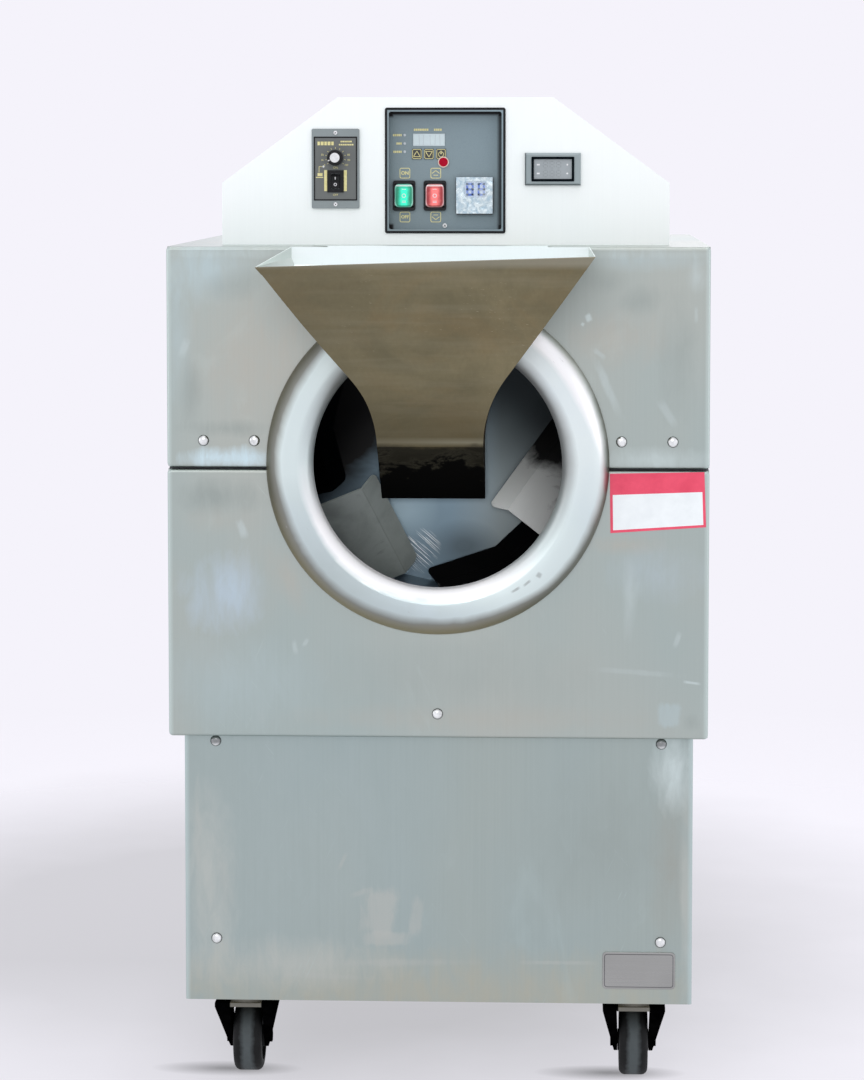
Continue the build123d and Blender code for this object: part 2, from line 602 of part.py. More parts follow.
# Caster forks and wheels: each fork turns on its kingpin, each wheel on its axle
LEG_INNER = WHEEL_W / 2 + WHEEL_HUB_PROUD + RUN_GAP
LEG_OUTER = LEG_INNER + FORK_LEG_T
for (x, y), name in zip(CASTER_CENTRES, CASTER_NAMES):
    axle_axis = Axis((x, y + CASTER_TRAIL, WHEEL_R), (1, 0, 0))
    fork_front = Plane(origin=(x, y, 0), x_dir=(1, 0, 0), z_dir=(0, -1, 0))
    fork_side = Plane(origin=(x, y, 0), x_dir=(0, 1, 0), z_dir=(1, 0, 0))
    with BuildPart() as caster_fork:
        with BuildSketch(fork_front):
            with BuildLine():
                Polyline(
                    (0, FORK_CUP_Z),
                    (FORK_TOP_W / 2, FORK_CUP_Z),
                    (FORK_TOP_W / 2, CROWN_Z),
                    (LEG_OUTER, WHEEL_R - FORK_EYE_R),
                    (LEG_INNER, WHEEL_R - FORK_EYE_R),
                    (LEG_INNER, WHEEL_R + FORK_EYE_R),
                    (FORK_TOP_W / 2 - FORK_LEG_TOP_T, CROWN_Z),
                    (0, CROWN_Z),
                    close=True,
                )
            make_face()
            mirror(about=Plane.YZ)
        extrude(amount=FORK_CROWN_L + CASTER_TRAIL, both=True)
        with BuildSketch(fork_side):
            with Locations((0, (CROWN_Z + FORK_CUP_Z) / 2)):
                Rectangle(FORK_CROWN_L, FORK_CROWN_T)
            with Locations((CASTER_TRAIL, WHEEL_R)):
                Circle(FORK_EYE_R)
            make_hull()
        extrude(amount=FORK_TOP_W, both=True, mode=Mode.INTERSECT)
        with BuildSketch(Plane(origin=(x, y, FORK_CUP_Z))):
            Circle(FORK_CUP_R)
        extrude(amount=FORK_CUP_H)
        with BuildSketch(Plane(origin=(x, y, CROWN_Z))):
            Circle(KINGPIN_R + SHAFT_FIT)
        extrude(amount=FORK_CROWN_T + FORK_CUP_H, mode=Mode.SUBTRACT)
        with BuildSketch(fork_side):
            with Locations((CASTER_TRAIL, WHEEL_R)):
                Circle(AXLE_R + SHAFT_FIT)
        extrude(amount=FORK_TOP_W, both=True, mode=Mode.SUBTRACT)
        for end in (-1, 1):
            with BuildSketch(fork_side.offset(end * LEG_OUTER)):
                with Locations((CASTER_TRAIL, WHEEL_R)):
                    Circle(AXLE_HEAD_R + AXLE_SEAT_GAP)
            extrude(amount=end * FORK_TOP_W, mode=Mode.SUBTRACT)
        half = LEG_OUTER + SHAFT_FIT
        with BuildSketch(fork_side):
            with Locations((CASTER_TRAIL, WHEEL_R)):
                Circle(AXLE_R)
        extrude(amount=half, both=True)
        for end in (-1, 1):
            with BuildSketch(fork_side.offset(end * half)):
                with Locations((CASTER_TRAIL, WHEEL_R)):
                    RegularPolygon(AXLE_HEAD_R, 6)
            extrude(amount=end * AXLE_HEAD_H)
    write(caster_fork.part, f"caster_fork_{name}")

    with BuildPart() as caster_wheel:
        with BuildSketch(Plane(origin=(x, y + CASTER_TRAIL, WHEEL_R), x_dir=(1, 0, 0), z_dir=(0, -1, 0))):
            with BuildLine():
                Polyline(
                    (0, AXLE_R + SHAFT_FIT),
                    (WHEEL_W / 2 + WHEEL_HUB_PROUD, AXLE_R + SHAFT_FIT),
                    (WHEEL_W / 2 + WHEEL_HUB_PROUD, WHEEL_HUB_R),
                    (WHEEL_W / 2 - WHEEL_CORE_DISH, WHEEL_HUB_R),
                    (WHEEL_W / 2 - WHEEL_CORE_DISH, WHEEL_CORE_R),
                    (WHEEL_W / 2, WHEEL_CORE_R),
                    (WHEEL_W / 2, WHEEL_R),
                    (0, WHEEL_R),
                    close=True,
                )
            make_face()
            mirror(about=Plane.YZ)
        revolve(axis=axle_axis)
        fillet(caster_wheel.edges().filter_by(GeomType.CIRCLE).group_by(SortBy.RADIUS)[-1], TYRE_EDGE_R)
    write(caster_wheel.part, f"caster_wheel_{name}")


# Tub floor between cabinet and casing, with the slot for the belt
with BuildPart() as tub_floor:
    with Locations((0, FRONT_Y + RETURN_DEPTH, CASING_Z)):
        Box(CASING_W, CASING_D - RETURN_DEPTH, TUB_FLOOR_T, align=LOW_CORNER)
    with Locations((0, FRONT_Y + PULLEY_START - BELT_SLOT_GAP, CASING_Z)):
        Box(
            2 * (DRUM_PULLEY_R + BELT_SLOT_GAP),
            PULLEY_W + 2 * BELT_SLOT_GAP,
            TUB_FLOOR_T,
            align=LOW_CORNER,
            mode=Mode.SUBTRACT,
        )
write(tub_floor.part, "tub_floor")


# Folded front panels of the tub and the hood, cut out for the mouth
def folded_front(low, high, points):
    """Front sheet with its four edges folded back."""
    middle = front_plane(0, (low + high) / 2)
    with BuildPart() as panel:
        with BuildSketch(middle):
            RectangleRounded(CASING_W, high - low, CORNER_R)
        extrude(amount=-RETURN_DEPTH)
        fillet(panel.faces().sort_by(Axis.Y)[0].edges(), BEND_R)
        with BuildSketch(middle.offset(-SHEET)):
            RectangleRounded(CASING_W - 2 * SHEET, high - low - 2 * SHEET, CORNER_R - SHEET)
        extrude(amount=SHEET - RETURN_DEPTH, mode=Mode.SUBTRACT)
        with BuildSketch(front_plane(0, AXIS_Z)):
            Circle(MOUTH_CUT_R)
        extrude(amount=-RETURN_DEPTH, mode=Mode.SUBTRACT)
        screw_holes(front_plane(0), points, SHEET)
    return panel.part


write(folded_front(CASING_Z, SEAM_Z - SEAM_GAP / 2, TUB_POINTS), "tub_front_panel")
write(folded_front(SEAM_Z + SEAM_GAP / 2, TOP_Z, HOOD_POINTS), "hood_front_panel")


# Side panels of the tub and the hood, behind the folded fronts
for side, hand in ((-1, "left"), (1, "right")):
    for low, high, half in (
        (TUB_Z, SEAM_Z - SEAM_GAP / 2, "tub"),
        (SEAM_Z + SEAM_GAP / 2, TOP_Z - SHEET, "hood"),
    ):
        with BuildPart() as casing_side_panel:
            with Locations((side * (CASING_W - SHEET) / 2, FRONT_Y + RETURN_DEPTH, low)):
                Box(SHEET, CASING_D - RETURN_DEPTH - SHEET, high - low, align=LOW_CORNER)
        write(casing_side_panel.part, f"{half}_{hand}_panel")


# Rear panels, screwed to the posts, the upper one with vents
with BuildPart() as rear_lower_panel:
    with Locations((0, FRONT_Y + CASING_D - SHEET, TUB_Z)):
        Box(CASING_W, SHEET, SEAM_Z - SEAM_GAP / 2 - TUB_Z, align=LOW_CORNER)
    screw_holes(rear_plane(CASING_D), TUB_REAR_POINTS, SHEET)
write(rear_lower_panel.part, "rear_lower_panel")

with BuildPart() as rear_upper_panel:
    with Locations((0, FRONT_Y + CASING_D - SHEET, SEAM_Z + SEAM_GAP / 2)):
        Box(CASING_W, SHEET, TOP_Z - SHEET - SEAM_Z - SEAM_GAP / 2, align=LOW_CORNER)
    screw_holes(rear_plane(CASING_D), HOOD_REAR_POINTS, SHEET)
    with BuildSketch(rear_plane(CASING_D, (SEAM_Z + TOP_Z) / 2)):
        with GridLocations(VENT_PITCH_X, VENT_PITCH_Z, VENT_COLUMNS, VENT_ROWS):
            SlotOverall(VENT_L, VENT_H)
    extrude(amount=-SHEET, mode=Mode.SUBTRACT)
write(rear_upper_panel.part, "rear_upper_panel")


# Hood top, which carries the control housing
with BuildPart() as hood_top:
    with Locations((0, FRONT_Y + RETURN_DEPTH, TOP_Z - SHEET)):
        Box(CASING_W, CASING_D - RETURN_DEPTH, SHEET, align=LOW_CORNER)
write(hood_top.part, "hood_top")


# All panel screws
with BuildPart() as panel_screws:
    add(dome_screws(front_plane(0), HOOD_POINTS + TUB_POINTS, BULKHEAD_BACK + SCREW_GRIP))
    add(dome_screws(front_plane(CABINET_SETBACK), CABINET_POINTS, SHEET + POST_T + SCREW_GRIP))
    add(dome_screws(rear_plane(CABINET_REAR), CABINET_POINTS, SHEET + POST_T + SCREW_GRIP))
    add(dome_screws(rear_plane(CASING_D), TUB_REAR_POINTS + HOOD_REAR_POINTS, SHEET + POST_T + SCREW_GRIP))
write(panel_screws.part, "panel_screws")


# Polished mouth ring of formed sheet: a broad outer curve, a tight roll into the mouth and a flat back flange
RING_ROLL_END = RING_ROLL - RING_PROUD


def ring_curve(inset):
    """One face of the ring's section, an inset inside the outer face, from the flange to the mouth."""
    EllipticalCenterArc((0, RING_CROWN_R), RING_PROUD - inset, RING_R - RING_CROWN_R - inset, 90)
    mouth_width = RING_CROWN_R - RING_MOUTH_R - inset
    EllipticalCenterArc((RING_ROLL_END, RING_CROWN_R), RING_ROLL - inset, mouth_width, 180)
    Line((RING_ROLL_END, RING_MOUTH_R + inset), (RING_LIP, RING_MOUTH_R + inset))


with BuildPart() as mouth_ring:
    with BuildSketch(TURNING_PLANE):
        with BuildLine():
            ring_curve(0)
            Line((RING_LIP, RING_MOUTH_R), (RING_LIP, RING_MOUTH_R + RING_T))
            ring_curve(RING_T)
            Line((0, RING_R - RING_T), (0, RING_R))
        make_face()
        with Locations((-RING_T, RING_R - RING_FLANGE)):
            Rectangle(RING_T, RING_FLANGE, align=Align.MIN)
    revolve(axis=DRUM_AXIS)
write(mouth_ring.part, "mouth_ring")


# Front and rear bulkheads that close the roasting chamber
HEATER_STEP_ANGLE = (HEATER_LAST_ANGLE - HEATER_FIRST_ANGLE) / (HEATER_COUNT - 1)
INNER_HALF_W = CASING_W / 2 - SHEET
BULKHEAD_H = TOP_Z - SHEET - TUB_Z
PROBE_POINT = (HEATER_CIRCLE_R * cos(radians(PROBE_ANGLE)), HEATER_CIRCLE_R * sin(radians(PROBE_ANGLE)))


def heater_circles(radius):
    """One circle for each heater, on the lower half of the chamber."""
    for index in range(HEATER_COUNT):
        angle = radians(HEATER_FIRST_ANGLE + index * HEATER_STEP_ANGLE)
        with Locations((HEATER_CIRCLE_R * cos(angle), HEATER_CIRCLE_R * sin(angle))):
            Circle(radius)


with BuildPart() as bulkheads:
    with Locations((0, FRONT_Y + RETURN_DEPTH, TUB_Z)):
        Box(2 * INNER_HALF_W, FRONT_BULKHEAD_T, BULKHEAD_H, align=LOW_CORNER)
    with BuildSketch(front_plane(RETURN_DEPTH, AXIS_Z)):
        Circle(NECK_R + BULKHEAD_HOLE_GAP)
    extrude(amount=-FRONT_BULKHEAD_T, mode=Mode.SUBTRACT)
    screw_holes(front_plane(RETURN_DEPTH), HOOD_POINTS + TUB_POINTS, FRONT_BULKHEAD_T)
    with Locations((0, FRONT_Y + REAR_BULKHEAD, TUB_Z)):
        Box(2 * INNER_HALF_W, REAR_BULKHEAD_T, BULKHEAD_H, align=LOW_CORNER)
    with BuildSketch(front_plane(REAR_BULKHEAD, AXIS_Z)):
        Circle(SHAFT_R + SHAFT_HOLE_GAP)
        heater_circles(HEATER_R + HOLE_PLAY)
        with Locations(PROBE_POINT):
            Circle(PROBE_R + HOLE_PLAY)
    extrude(amount=-REAR_BULKHEAD_T, mode=Mode.SUBTRACT)
write(bulkheads.part, "bulkheads")


# Chamber liner and insulation, each in an upper and a lower half
def chamber_halves(inner, outer):
    """Two half tubes between the bulkheads, parted at the seam."""
    with BuildPart() as halves:
        with BuildSketch(front_plane(BULKHEAD_BACK, AXIS_Z)):
            Circle(outer)
            Circle(inner, mode=Mode.SUBTRACT)
            with Locations((0, -AXIS_OVER_SEAM)):
                Rectangle(2 * outer, SEAM_GAP, mode=Mode.SUBTRACT)
        extrude(amount=-CHAMBER_L)
        screw_holes(front_plane(BULKHEAD_BACK), HOOD_POINTS, SCREW_GRIP)
    return halves.part


write(chamber_halves(LINER_R, LINER_R + LINER_T), "chamber_liner")
INSULATION_R = LINER_R + LINER_T + RUN_GAP
write(chamber_halves(INSULATION_R, INSULATION_R + INSULATION_T), "insulation")


# Tubular heaters from the front bulkhead through the rear one
with BuildPart() as heating_elements:
    with BuildSketch(front_plane(BULKHEAD_BACK, AXIS_Z)):
        heater_circles(HEATER_R)
    extrude(amount=-(CHAMBER_L + REAR_BULKHEAD_T + HEATER_TAIL))
write(heating_elements.part, "heating_elements")


# Temperature probe through the rear bulkhead into the chamber
with BuildPart() as temperature_probe:
    with BuildSketch(front_plane(BEARING_SEAT, AXIS_Z)):
        with Locations(PROBE_POINT):
            Circle(PROBE_R)
    extrude(amount=REAR_BULKHEAD_T + PROBE_L)
    with BuildSketch(front_plane(BEARING_SEAT, AXIS_Z)):
        with Locations(PROBE_POINT):
            Circle(PROBE_HEAD_R)
    extrude(amount=-PROBE_HEAD_L)
write(temperature_probe.part, "temperature_probe")


# Drum: neck, cone, barrel and back in one spun and welded shell
with BuildPart() as drum_barrel:
    cone_start = NECK_START + NECK_L
    barrel_start = cone_start + CONE_L
    with BuildSketch(TURNING_PLANE):
        with BuildLine():
            Polyline(
                (NECK_START, NECK_R),
                (cone_start, NECK_R),
                (barrel_start, DRUM_R),
                (DRUM_BACK, DRUM_R),
                (DRUM_BACK, SHAFT_R + SHAFT_FIT),
                (DRUM_BACK - DRUM_BACK_T, SHAFT_R + SHAFT_FIT),
                (DRUM_BACK - DRUM_BACK_T, DRUM_R - DRUM_WALL),
                (barrel_start, DRUM_R - DRUM_WALL),
                (cone_start, NECK_R - DRUM_WALL),
                (NECK_START, NECK_R - DRUM_WALL),
                close=True,
            )
        make_face()
    revolve(axis=DRUM_AXIS)
write(drum_barrel.part, "drum_barrel")


# Lifting vanes: folded plates set across the drum wall, in rows
def vane(angle, depth, fold_r, length, lead=0.0):
    """One vane with its tallest place at an angle and a depth, a lead after its start, cut to the drum wall."""
    radial = Vector(cos(radians(angle)), 0, sin(radians(angle)))
    around = Vector(-sin(radians(angle)), 0, cos(radians(angle)))
    inward = Vector(0, 1, 0)
    pitch = radians(VANE_PITCH_ANGLE)
    run = around * cos(pitch) + inward * sin(pitch)
    normal = inward * cos(pitch) - around * sin(pitch)
    bend = radians(VANE_LIP_ANGLE)
    lip_way = normal * sin(bend) - radial * cos(bend)
    start = Vector(0, FRONT_Y + depth, AXIS_Z) + radial * fold_r - run * lead
    web_plane = Plane(origin=start, x_dir=run, z_dir=run.cross(radial))
    lip_plane = Plane(origin=start, x_dir=run, z_dir=run.cross(lip_way))
    with BuildPart() as plate:
        with BuildSketch(web_plane):
            Rectangle(length, DRUM_R - fold_r, align=Align.MIN)
        extrude(amount=VANE_T / 2, both=True)
        with BuildSketch(lip_plane) as lip:
            Rectangle(length, VANE_LIP, align=Align.MIN)
            fillet(lip.vertices().group_by(Axis.Y)[-1], VANE_LIP_R)
        extrude(amount=VANE_T / 2, both=True)
        with BuildSketch(front_plane(0, AXIS_Z)):
            Circle(DRUM_R - DRUM_WALL - VANE_WALL_GAP)
        extrude(amount=-(DRUM_BACK - DRUM_BACK_T), mode=Mode.INTERSECT)
    return plate.part


with BuildPart() as drum_vanes:
    for place in range(VANES_PER_ROW):
        turn = place * 360 / VANES_PER_ROW
        add(vane(FRONT_VANE_ANGLE + turn, FRONT_VANE_DEPTH, FRONT_VANE_FOLD_R, FRONT_VANE_L))
        for row in range(REAR_ROWS):
            angle = REAR_VANE_ANGLE + row * REAR_ROW_ANGLE + turn
            depth = REAR_VANE_DEPTH + row * REAR_ROW_PITCH
            add(vane(angle, depth, REAR_VANE_FOLD_R, REAR_VANE_L, REAR_VANE_L / 2))
write(drum_vanes.part, "drum_vanes")


# Hub on the drum's back, and the shaft that carries the drum
with BuildPart() as drum_shaft:
    with BuildSketch(front_plane(DRUM_BACK, AXIS_Z)):
        Circle(HUB_FLANGE_R)
    extrude(amount=-HUB_FLANGE_T)
    with BuildSketch(front_plane(DRUM_BACK + HUB_FLANGE_T, AXIS_Z)):
        Circle(HUB_BOSS_R)
    extrude(amount=-HUB_BOSS_L)
    with BuildSketch(front_plane(DRUM_BACK, AXIS_Z)):
        Circle(SHAFT_R + SHAFT_FIT)
    extrude(amount=-(HUB_FLANGE_T + HUB_BOSS_L), mode=Mode.SUBTRACT)
    with BuildSketch(front_plane(DRUM_BACK - DRUM_BACK_T, AXIS_Z)):
        Circle(SHAFT_R)
    extrude(amount=-(PULLEY_END + SHAFT_TAIL - DRUM_BACK + DRUM_BACK_T))
write(drum_shaft.part, "drum_shaft")


# Bracket behind the rear bulkhead that carries the second bearing
with BuildPart() as bearing_bracket:
    half = BRACKET_W / 2
    web = REAR_BEARING_SEAT
    with BuildSketch(Plane(origin=(0, FRONT_Y, AXIS_Z - BRACKET_H / 2))):
        with BuildLine():
            Polyline(
                (0, web - BRACKET_T),
                (half - BRACKET_T, web - BRACKET_T),
                (half - BRACKET_T, BEARING_SEAT),
                (half + BRACKET_FOOT, BEARING_SEAT),
                (half + BRACKET_FOOT, BEARING_SEAT + BRACKET_T),
                (half, BEARING_SEAT + BRACKET_T),
                (half, web),
                (0, web),
                close=True,
            )
        make_face()
        mirror(about=Plane.YZ)
    extrude(amount=BRACKET_H)
    with BuildSketch(front_plane(web, AXIS_Z)):
        Circle(SHAFT_R + SHAFT_HOLE_GAP)
    extrude(amount=BRACKET_T, mode=Mode.SUBTRACT)
write(bearing_bracket.part, "bearing_bracket")


# Flanged bearings on the rear bulkhead and on the bracket
with BuildPart() as shaft_bearings:
    for seat in (BEARING_SEAT, REAR_BEARING_SEAT):
        with BuildSketch(front_plane(seat, AXIS_Z)):
            RectangleRounded(BEARING_FLANGE, BEARING_FLANGE, BEARING_CORNER_R)
        extrude(amount=-BEARING_FLANGE_T)
        with BuildSketch(front_plane(seat, AXIS_Z)):
            Circle(BEARING_BOSS_R)
        extrude(amount=-BEARING_L)
        with BuildSketch(front_plane(seat, AXIS_Z)):
            Circle(SHAFT_R + SHAFT_FIT)
        extrude(amount=-BEARING_L, mode=Mode.SUBTRACT)
write(shaft_bearings.part, "shaft_bearings")


# Flanged pulleys, one on the drum shaft and one on the gearmotor's shaft, and the flat belt between them
def pulley(radius, bore, axis_z):
    """Pulley with a flange on each side of the belt."""
    with BuildPart() as wheel:
        with BuildSketch(front_plane(PULLEY_START, axis_z)):
            Circle(radius)
        extrude(amount=-PULLEY_W)
        for start in (PULLEY_START, PULLEY_END - PULLEY_FLANGE_T):
            with BuildSketch(front_plane(start, axis_z)):
                Circle(radius + PULLEY_FLANGE)
            extrude(amount=-PULLEY_FLANGE_T)
        with BuildSketch(front_plane(PULLEY_START, axis_z)):
            Circle(bore)
        extrude(amount=-PULLEY_W, mode=Mode.SUBTRACT)
    return wheel.part


write(pulley(DRUM_PULLEY_R, SHAFT_R + SHAFT_FIT, AXIS_Z), "drum_pulley")

with BuildPart() as motor_pulley:
    add(pulley(MOTOR_PULLEY_R, OUTPUT_SHAFT_R + SHAFT_FIT, MOTOR_AXIS_Z))
    with BuildSketch(front_plane(GEARBOX_FACE - OUTPUT_SHAFT_SEAT, MOTOR_AXIS_Z)):
        Circle(OUTPUT_SHAFT_R)
    extrude(amount=-(PULLEY_END + SHAFT_TAIL - GEARBOX_FACE + OUTPUT_SHAFT_SEAT))
write(motor_pulley.part, "motor_pulley")


def belt_outline(offset_from_pulley):
    """Outline of the belt run, a set distance off both pulleys."""
    with Locations((0, AXIS_Z)):
        Circle(DRUM_PULLEY_R + offset_from_pulley)
    with Locations((0, MOTOR_AXIS_Z)):
        Circle(MOTOR_PULLEY_R + offset_from_pulley)
    make_hull()


with BuildPart() as drive_belt:
    with BuildSketch(front_plane(BELT_START)):
        belt_outline(BELT_GAP + BELT_T)
    extrude(amount=-BELT_W)
    with BuildSketch(front_plane(BELT_START)):
        belt_outline(BELT_GAP)
    extrude(amount=-BELT_W, mode=Mode.SUBTRACT)
write(drive_belt.part, "drive_belt")


# Gearbox on its foot, with a bored nose
with BuildPart() as gearbox:
    gearbox_start = FRONT_Y + GEARBOX_FACE - GEARBOX_L
    floor_top = CABINET_Z + CABINET_FLOOR_T
    with Locations((0, gearbox_start, floor_top)):
        Box(GEARBOX_W, GEARBOX_L, GEARBOX_AXIS_H + GEARBOX_TOP, align=LOW_CORNER)
    fillet(gearbox.edges().filter_by(Axis.Y).group_by(Axis.Z)[-1], GEARBOX_EDGE_R)
    with Locations((0, gearbox_start, floor_top)):
        Box(GEARBOX_FOOT_W, GEARBOX_L, GEARBOX_FOOT_T, align=LOW_CORNER)
    with BuildSketch(front_plane(GEARBOX_FACE, MOTOR_AXIS_Z)):
        Circle(GEARBOX_NOSE_R)
    extrude(amount=-GEARBOX_NOSE_L)
    with BuildSketch(front_plane(GEARBOX_FACE + GEARBOX_NOSE_L, MOTOR_AXIS_Z)):
        Circle(OUTPUT_SHAFT_R + SHAFT_FIT)
    extrude(amount=GEARBOX_NOSE_L + OUTPUT_SHAFT_SEAT + RUN_GAP, mode=Mode.SUBTRACT)
write(gearbox.part, "gearbox")


# Motor on the front face of the gearbox, with its cowl and terminal box
with BuildPart() as drive_motor:
    motor_back = GEARBOX_FACE - GEARBOX_L
    with BuildSketch(front_plane(motor_back, MOTOR_AXIS_Z)):
        Circle(MOTOR_R)
    extrude(amount=MOTOR_L)
    with BuildSketch(front_plane(motor_back - MOTOR_L + MOTOR_COWL_L, MOTOR_AXIS_Z)):
        Circle(MOTOR_COWL_R)
    extrude(amount=MOTOR_COWL_L)
    fillet(drive_motor.faces().sort_by(Axis.Y)[0].edges(), MOTOR_EDGE_R)
    with Locations((0, FRONT_Y + motor_back - MOTOR_L / 2, MOTOR_AXIS_Z)):
        Box(
            TERMINAL_BOX,
            TERMINAL_BOX,
            MOTOR_R + TERMINAL_BOX_H,
            align=(Align.CENTER, Align.CENTER, Align.MIN),
        )
write(drive_motor.part, "drive_motor")


# Gland for the mains lead, clamped in the rear of the cabinet
with BuildPart() as cable_gland:
    gland_face = rear_plane(CABINET_REAR, CABINET_Z + GLAND_RISE, GLAND_X)
    with BuildSketch(gland_face):
        RegularPolygon(GLAND_HEX_R, 6)
    extrude(amount=GLAND_HEX_L)
    with BuildSketch(gland_face.offset(GLAND_HEX_L)):
        Circle(GLAND_DOME_R)
    extrude(amount=GLAND_DOME_L)
    fillet(cable_gland.faces().sort_by(Axis.Y)[-1].edges(), GLAND_EDGE_R)
    with BuildSketch(gland_face):
        Circle(GLAND_THREAD_R)
    extrude(amount=-(SHEET + GLAND_NUT_L))
    with BuildSketch(gland_face.offset(-SHEET)):
        RegularPolygon(GLAND_HEX_R, 6)
    extrude(amount=-GLAND_NUT_L)
    with BuildSketch(gland_face.offset(GLAND_REACH)):
        Circle(GLAND_BORE_R)
    extrude(amount=-(GLAND_REACH + SHEET + GLAND_NUT_L), mode=Mode.SUBTRACT)
write(cable_gland.part, "cable_gland")


# Hopper: a sheet funnel hooked over the casing's front edge, its spout in the mouth
def toward(start, end, distance):
    """Point past the end of a line, by a distance."""
    return end + (end - start).normalized() * distance


SPOUT_LOW = Vector(SPOUT_DEPTH, -SPOUT_DROP)
SPOUT_HIGH = Vector(SPOUT_TOP_DEPTH, SPOUT_TOP_RISE)
BACK_FACE = -(RING_PROUD + HOPPER_RING_GAP)
THROAT = Vector(BACK_FACE, RING_MOUTH_R - THROAT_DROP)
BACK_TURN = Vector(BACK_FACE, RING_R + HOPPER_RING_RISE)
BACK_STEP = Vector(-HOPPER_WALL_GAP, TOP_RISE - HOPPER_BACK_STEP)
BACK_TOP = Vector(-HOPPER_WALL_GAP, TOP_RISE)
HALF_SPOUT = SPOUT_W / 2
HALF_HOPPER = HOPPER_W / 2
FLARE_END = LIP.Y - (HALF_HOPPER - HALF_SPOUT) / FLARE_SLOPE


def funnel_side(open_by):
    """Side view of the funnel as a closed line, carried past its two ends."""
    return Polyline(
        toward(CREASE, LIP, open_by),
        CREASE,
        toward(CREASE, SPOUT_LOW, open_by),
        toward(THROAT, SPOUT_HIGH, open_by),
        THROAT,
        BACK_TURN,
        BACK_STEP,
        toward(BACK_STEP, BACK_TOP, open_by),
        close=True,
    )


def funnel_front(inset):
    """Cut a block to the front view of the funnel: flared sides that run into the spout."""
    high = 2 * TOP_RISE
    low = -2 * SPOUT_DROP
    with BuildSketch(front_plane(0, AXIS_Z, HOPPER_X)) as outline:
        with BuildLine():
            Polyline(
                (HALF_HOPPER, high),
                (HALF_HOPPER, LIP.Y),
                (HALF_SPOUT, FLARE_END),
                (HALF_SPOUT, low),
                (-HALF_SPOUT, low),
                (-HALF_SPOUT, FLARE_END),
                (-HALF_HOPPER, LIP.Y),
                (-HALF_HOPPER, high),
                close=True,
            )
        make_face()
        necks = outline.vertices().group_by(Axis.Y)[1]
        fillet(necks, FLARE_R)
        if inset:
            offset(amount=-inset, kind=Kind.INTERSECTION)
    extrude(outline.sketch, amount=2 * HOPPER_REACH, both=True, mode=Mode.INTERSECT)


with BuildPart() as hopper_inside:
    with BuildSketch(TURNING_PLANE):
        with BuildLine():
            funnel_side(HOPPER_OPEN)
        make_face()
        offset(amount=-HOPPER_T, kind=Kind.INTERSECTION)
    extrude(amount=HOPPER_W, both=True)
    funnel_front(HOPPER_T)

with BuildPart() as hopper:
    with BuildSketch(TURNING_PLANE):
        with BuildLine():
            funnel_side(0)
        make_face()
        with BuildLine():
            Polyline(
                LIP,
                LIP + HOPPER_SLOPE * HEM_H,
                LIP + HOPPER_SLOPE * HEM_H + HEM_WAY * HEM_T,
                LIP + HEM_WAY * HEM_T,
                close=True,
            )
        make_face()
    extrude(amount=HOPPER_W, both=True)
    funnel_front(0)
    add(hopper_inside.part, mode=Mode.SUBTRACT)
    with Locations((HOPPER_X, FRONT_Y - HOPPER_WALL_GAP - HOPPER_T, TOP_Z)):
        Box(HOOK_W, HOPPER_WALL_GAP + HOPPER_T + HOOK_L, HOPPER_T, align=LOW_CORNER)
    with Locations((HOPPER_X, FRONT_Y - HOPPER_WALL_GAP - HOPPER_T, TOP_Z - HOOK_TAB)):
        Box(HOOK_W, HOPPER_T, HOOK_TAB, align=LOW_CORNER)
write(hopper.part, "hopper")


# Control housing and its front panel on the casing top
def panel_outline(inset):
    """Outline of the control panel, its upper corners cut off."""
    with BuildLine() as outline:
        Polyline(
            (PANEL_X - PANEL_W / 2, 0),
            (PANEL_X + PANEL_W / 2, 0),
            (PANEL_X + PANEL_W / 2, PANEL_SIDE_H),
            (PANEL_X + PANEL_TOP_W / 2, PANEL_H),
            (PANEL_X - PANEL_TOP_W / 2, PANEL_H),
            (PANEL_X - PANEL_W / 2, PANEL_SIDE_H),
            close=True,
        )
    make_face(outline.edges())
    if inset:
        offset(amount=-inset, kind=Kind.INTERSECTION)


TRAY_HOLE_W = TRAY_W - 2 * TRAY_RIM + 2 * TRAY_WALL
TRAY_HOLE_H = TRAY_H - 2 * TRAY_RIM + 2 * TRAY_WALL
with BuildPart() as control_panel:
    with BuildSketch(front_plane(PANEL_SETBACK, TOP_Z)):
        panel_outline(0)
        with Locations((PANEL_X, TRAY_RISE)):
            Rectangle(TRAY_HOLE_W + 2 * HOLE_PLAY, TRAY_HOLE_H + 2 * HOLE_PLAY, mode=Mode.SUBTRACT)
        with Locations((SPEED_X, SPEED_RISE)):
            Rectangle(SPEED_BODY_W + 2 * HOLE_PLAY, SPEED_BODY_H + 2 * HOLE_PLAY, mode=Mode.SUBTRACT)
        with Locations((READOUT_X, READOUT_RISE)):
            Rectangle(READOUT_BODY_W + 2 * HOLE_PLAY, READOUT_BODY_H + 2 * HOLE_PLAY, mode=Mode.SUBTRACT)
    extrude(amount=-SHEET)
write(control_panel.part, "control_panel")

with BuildPart() as control_housing:
    with BuildSketch(front_plane(PANEL_BACK, TOP_Z)):
        panel_outline(0)
    extrude(amount=-HOUSING_D)
    with BuildSketch(front_plane(PANEL_BACK, TOP_Z)):
        panel_outline(SHEET)
    extrude(amount=SHEET - HOUSING_D, mode=Mode.SUBTRACT)
write(control_housing.part, "control_housing")


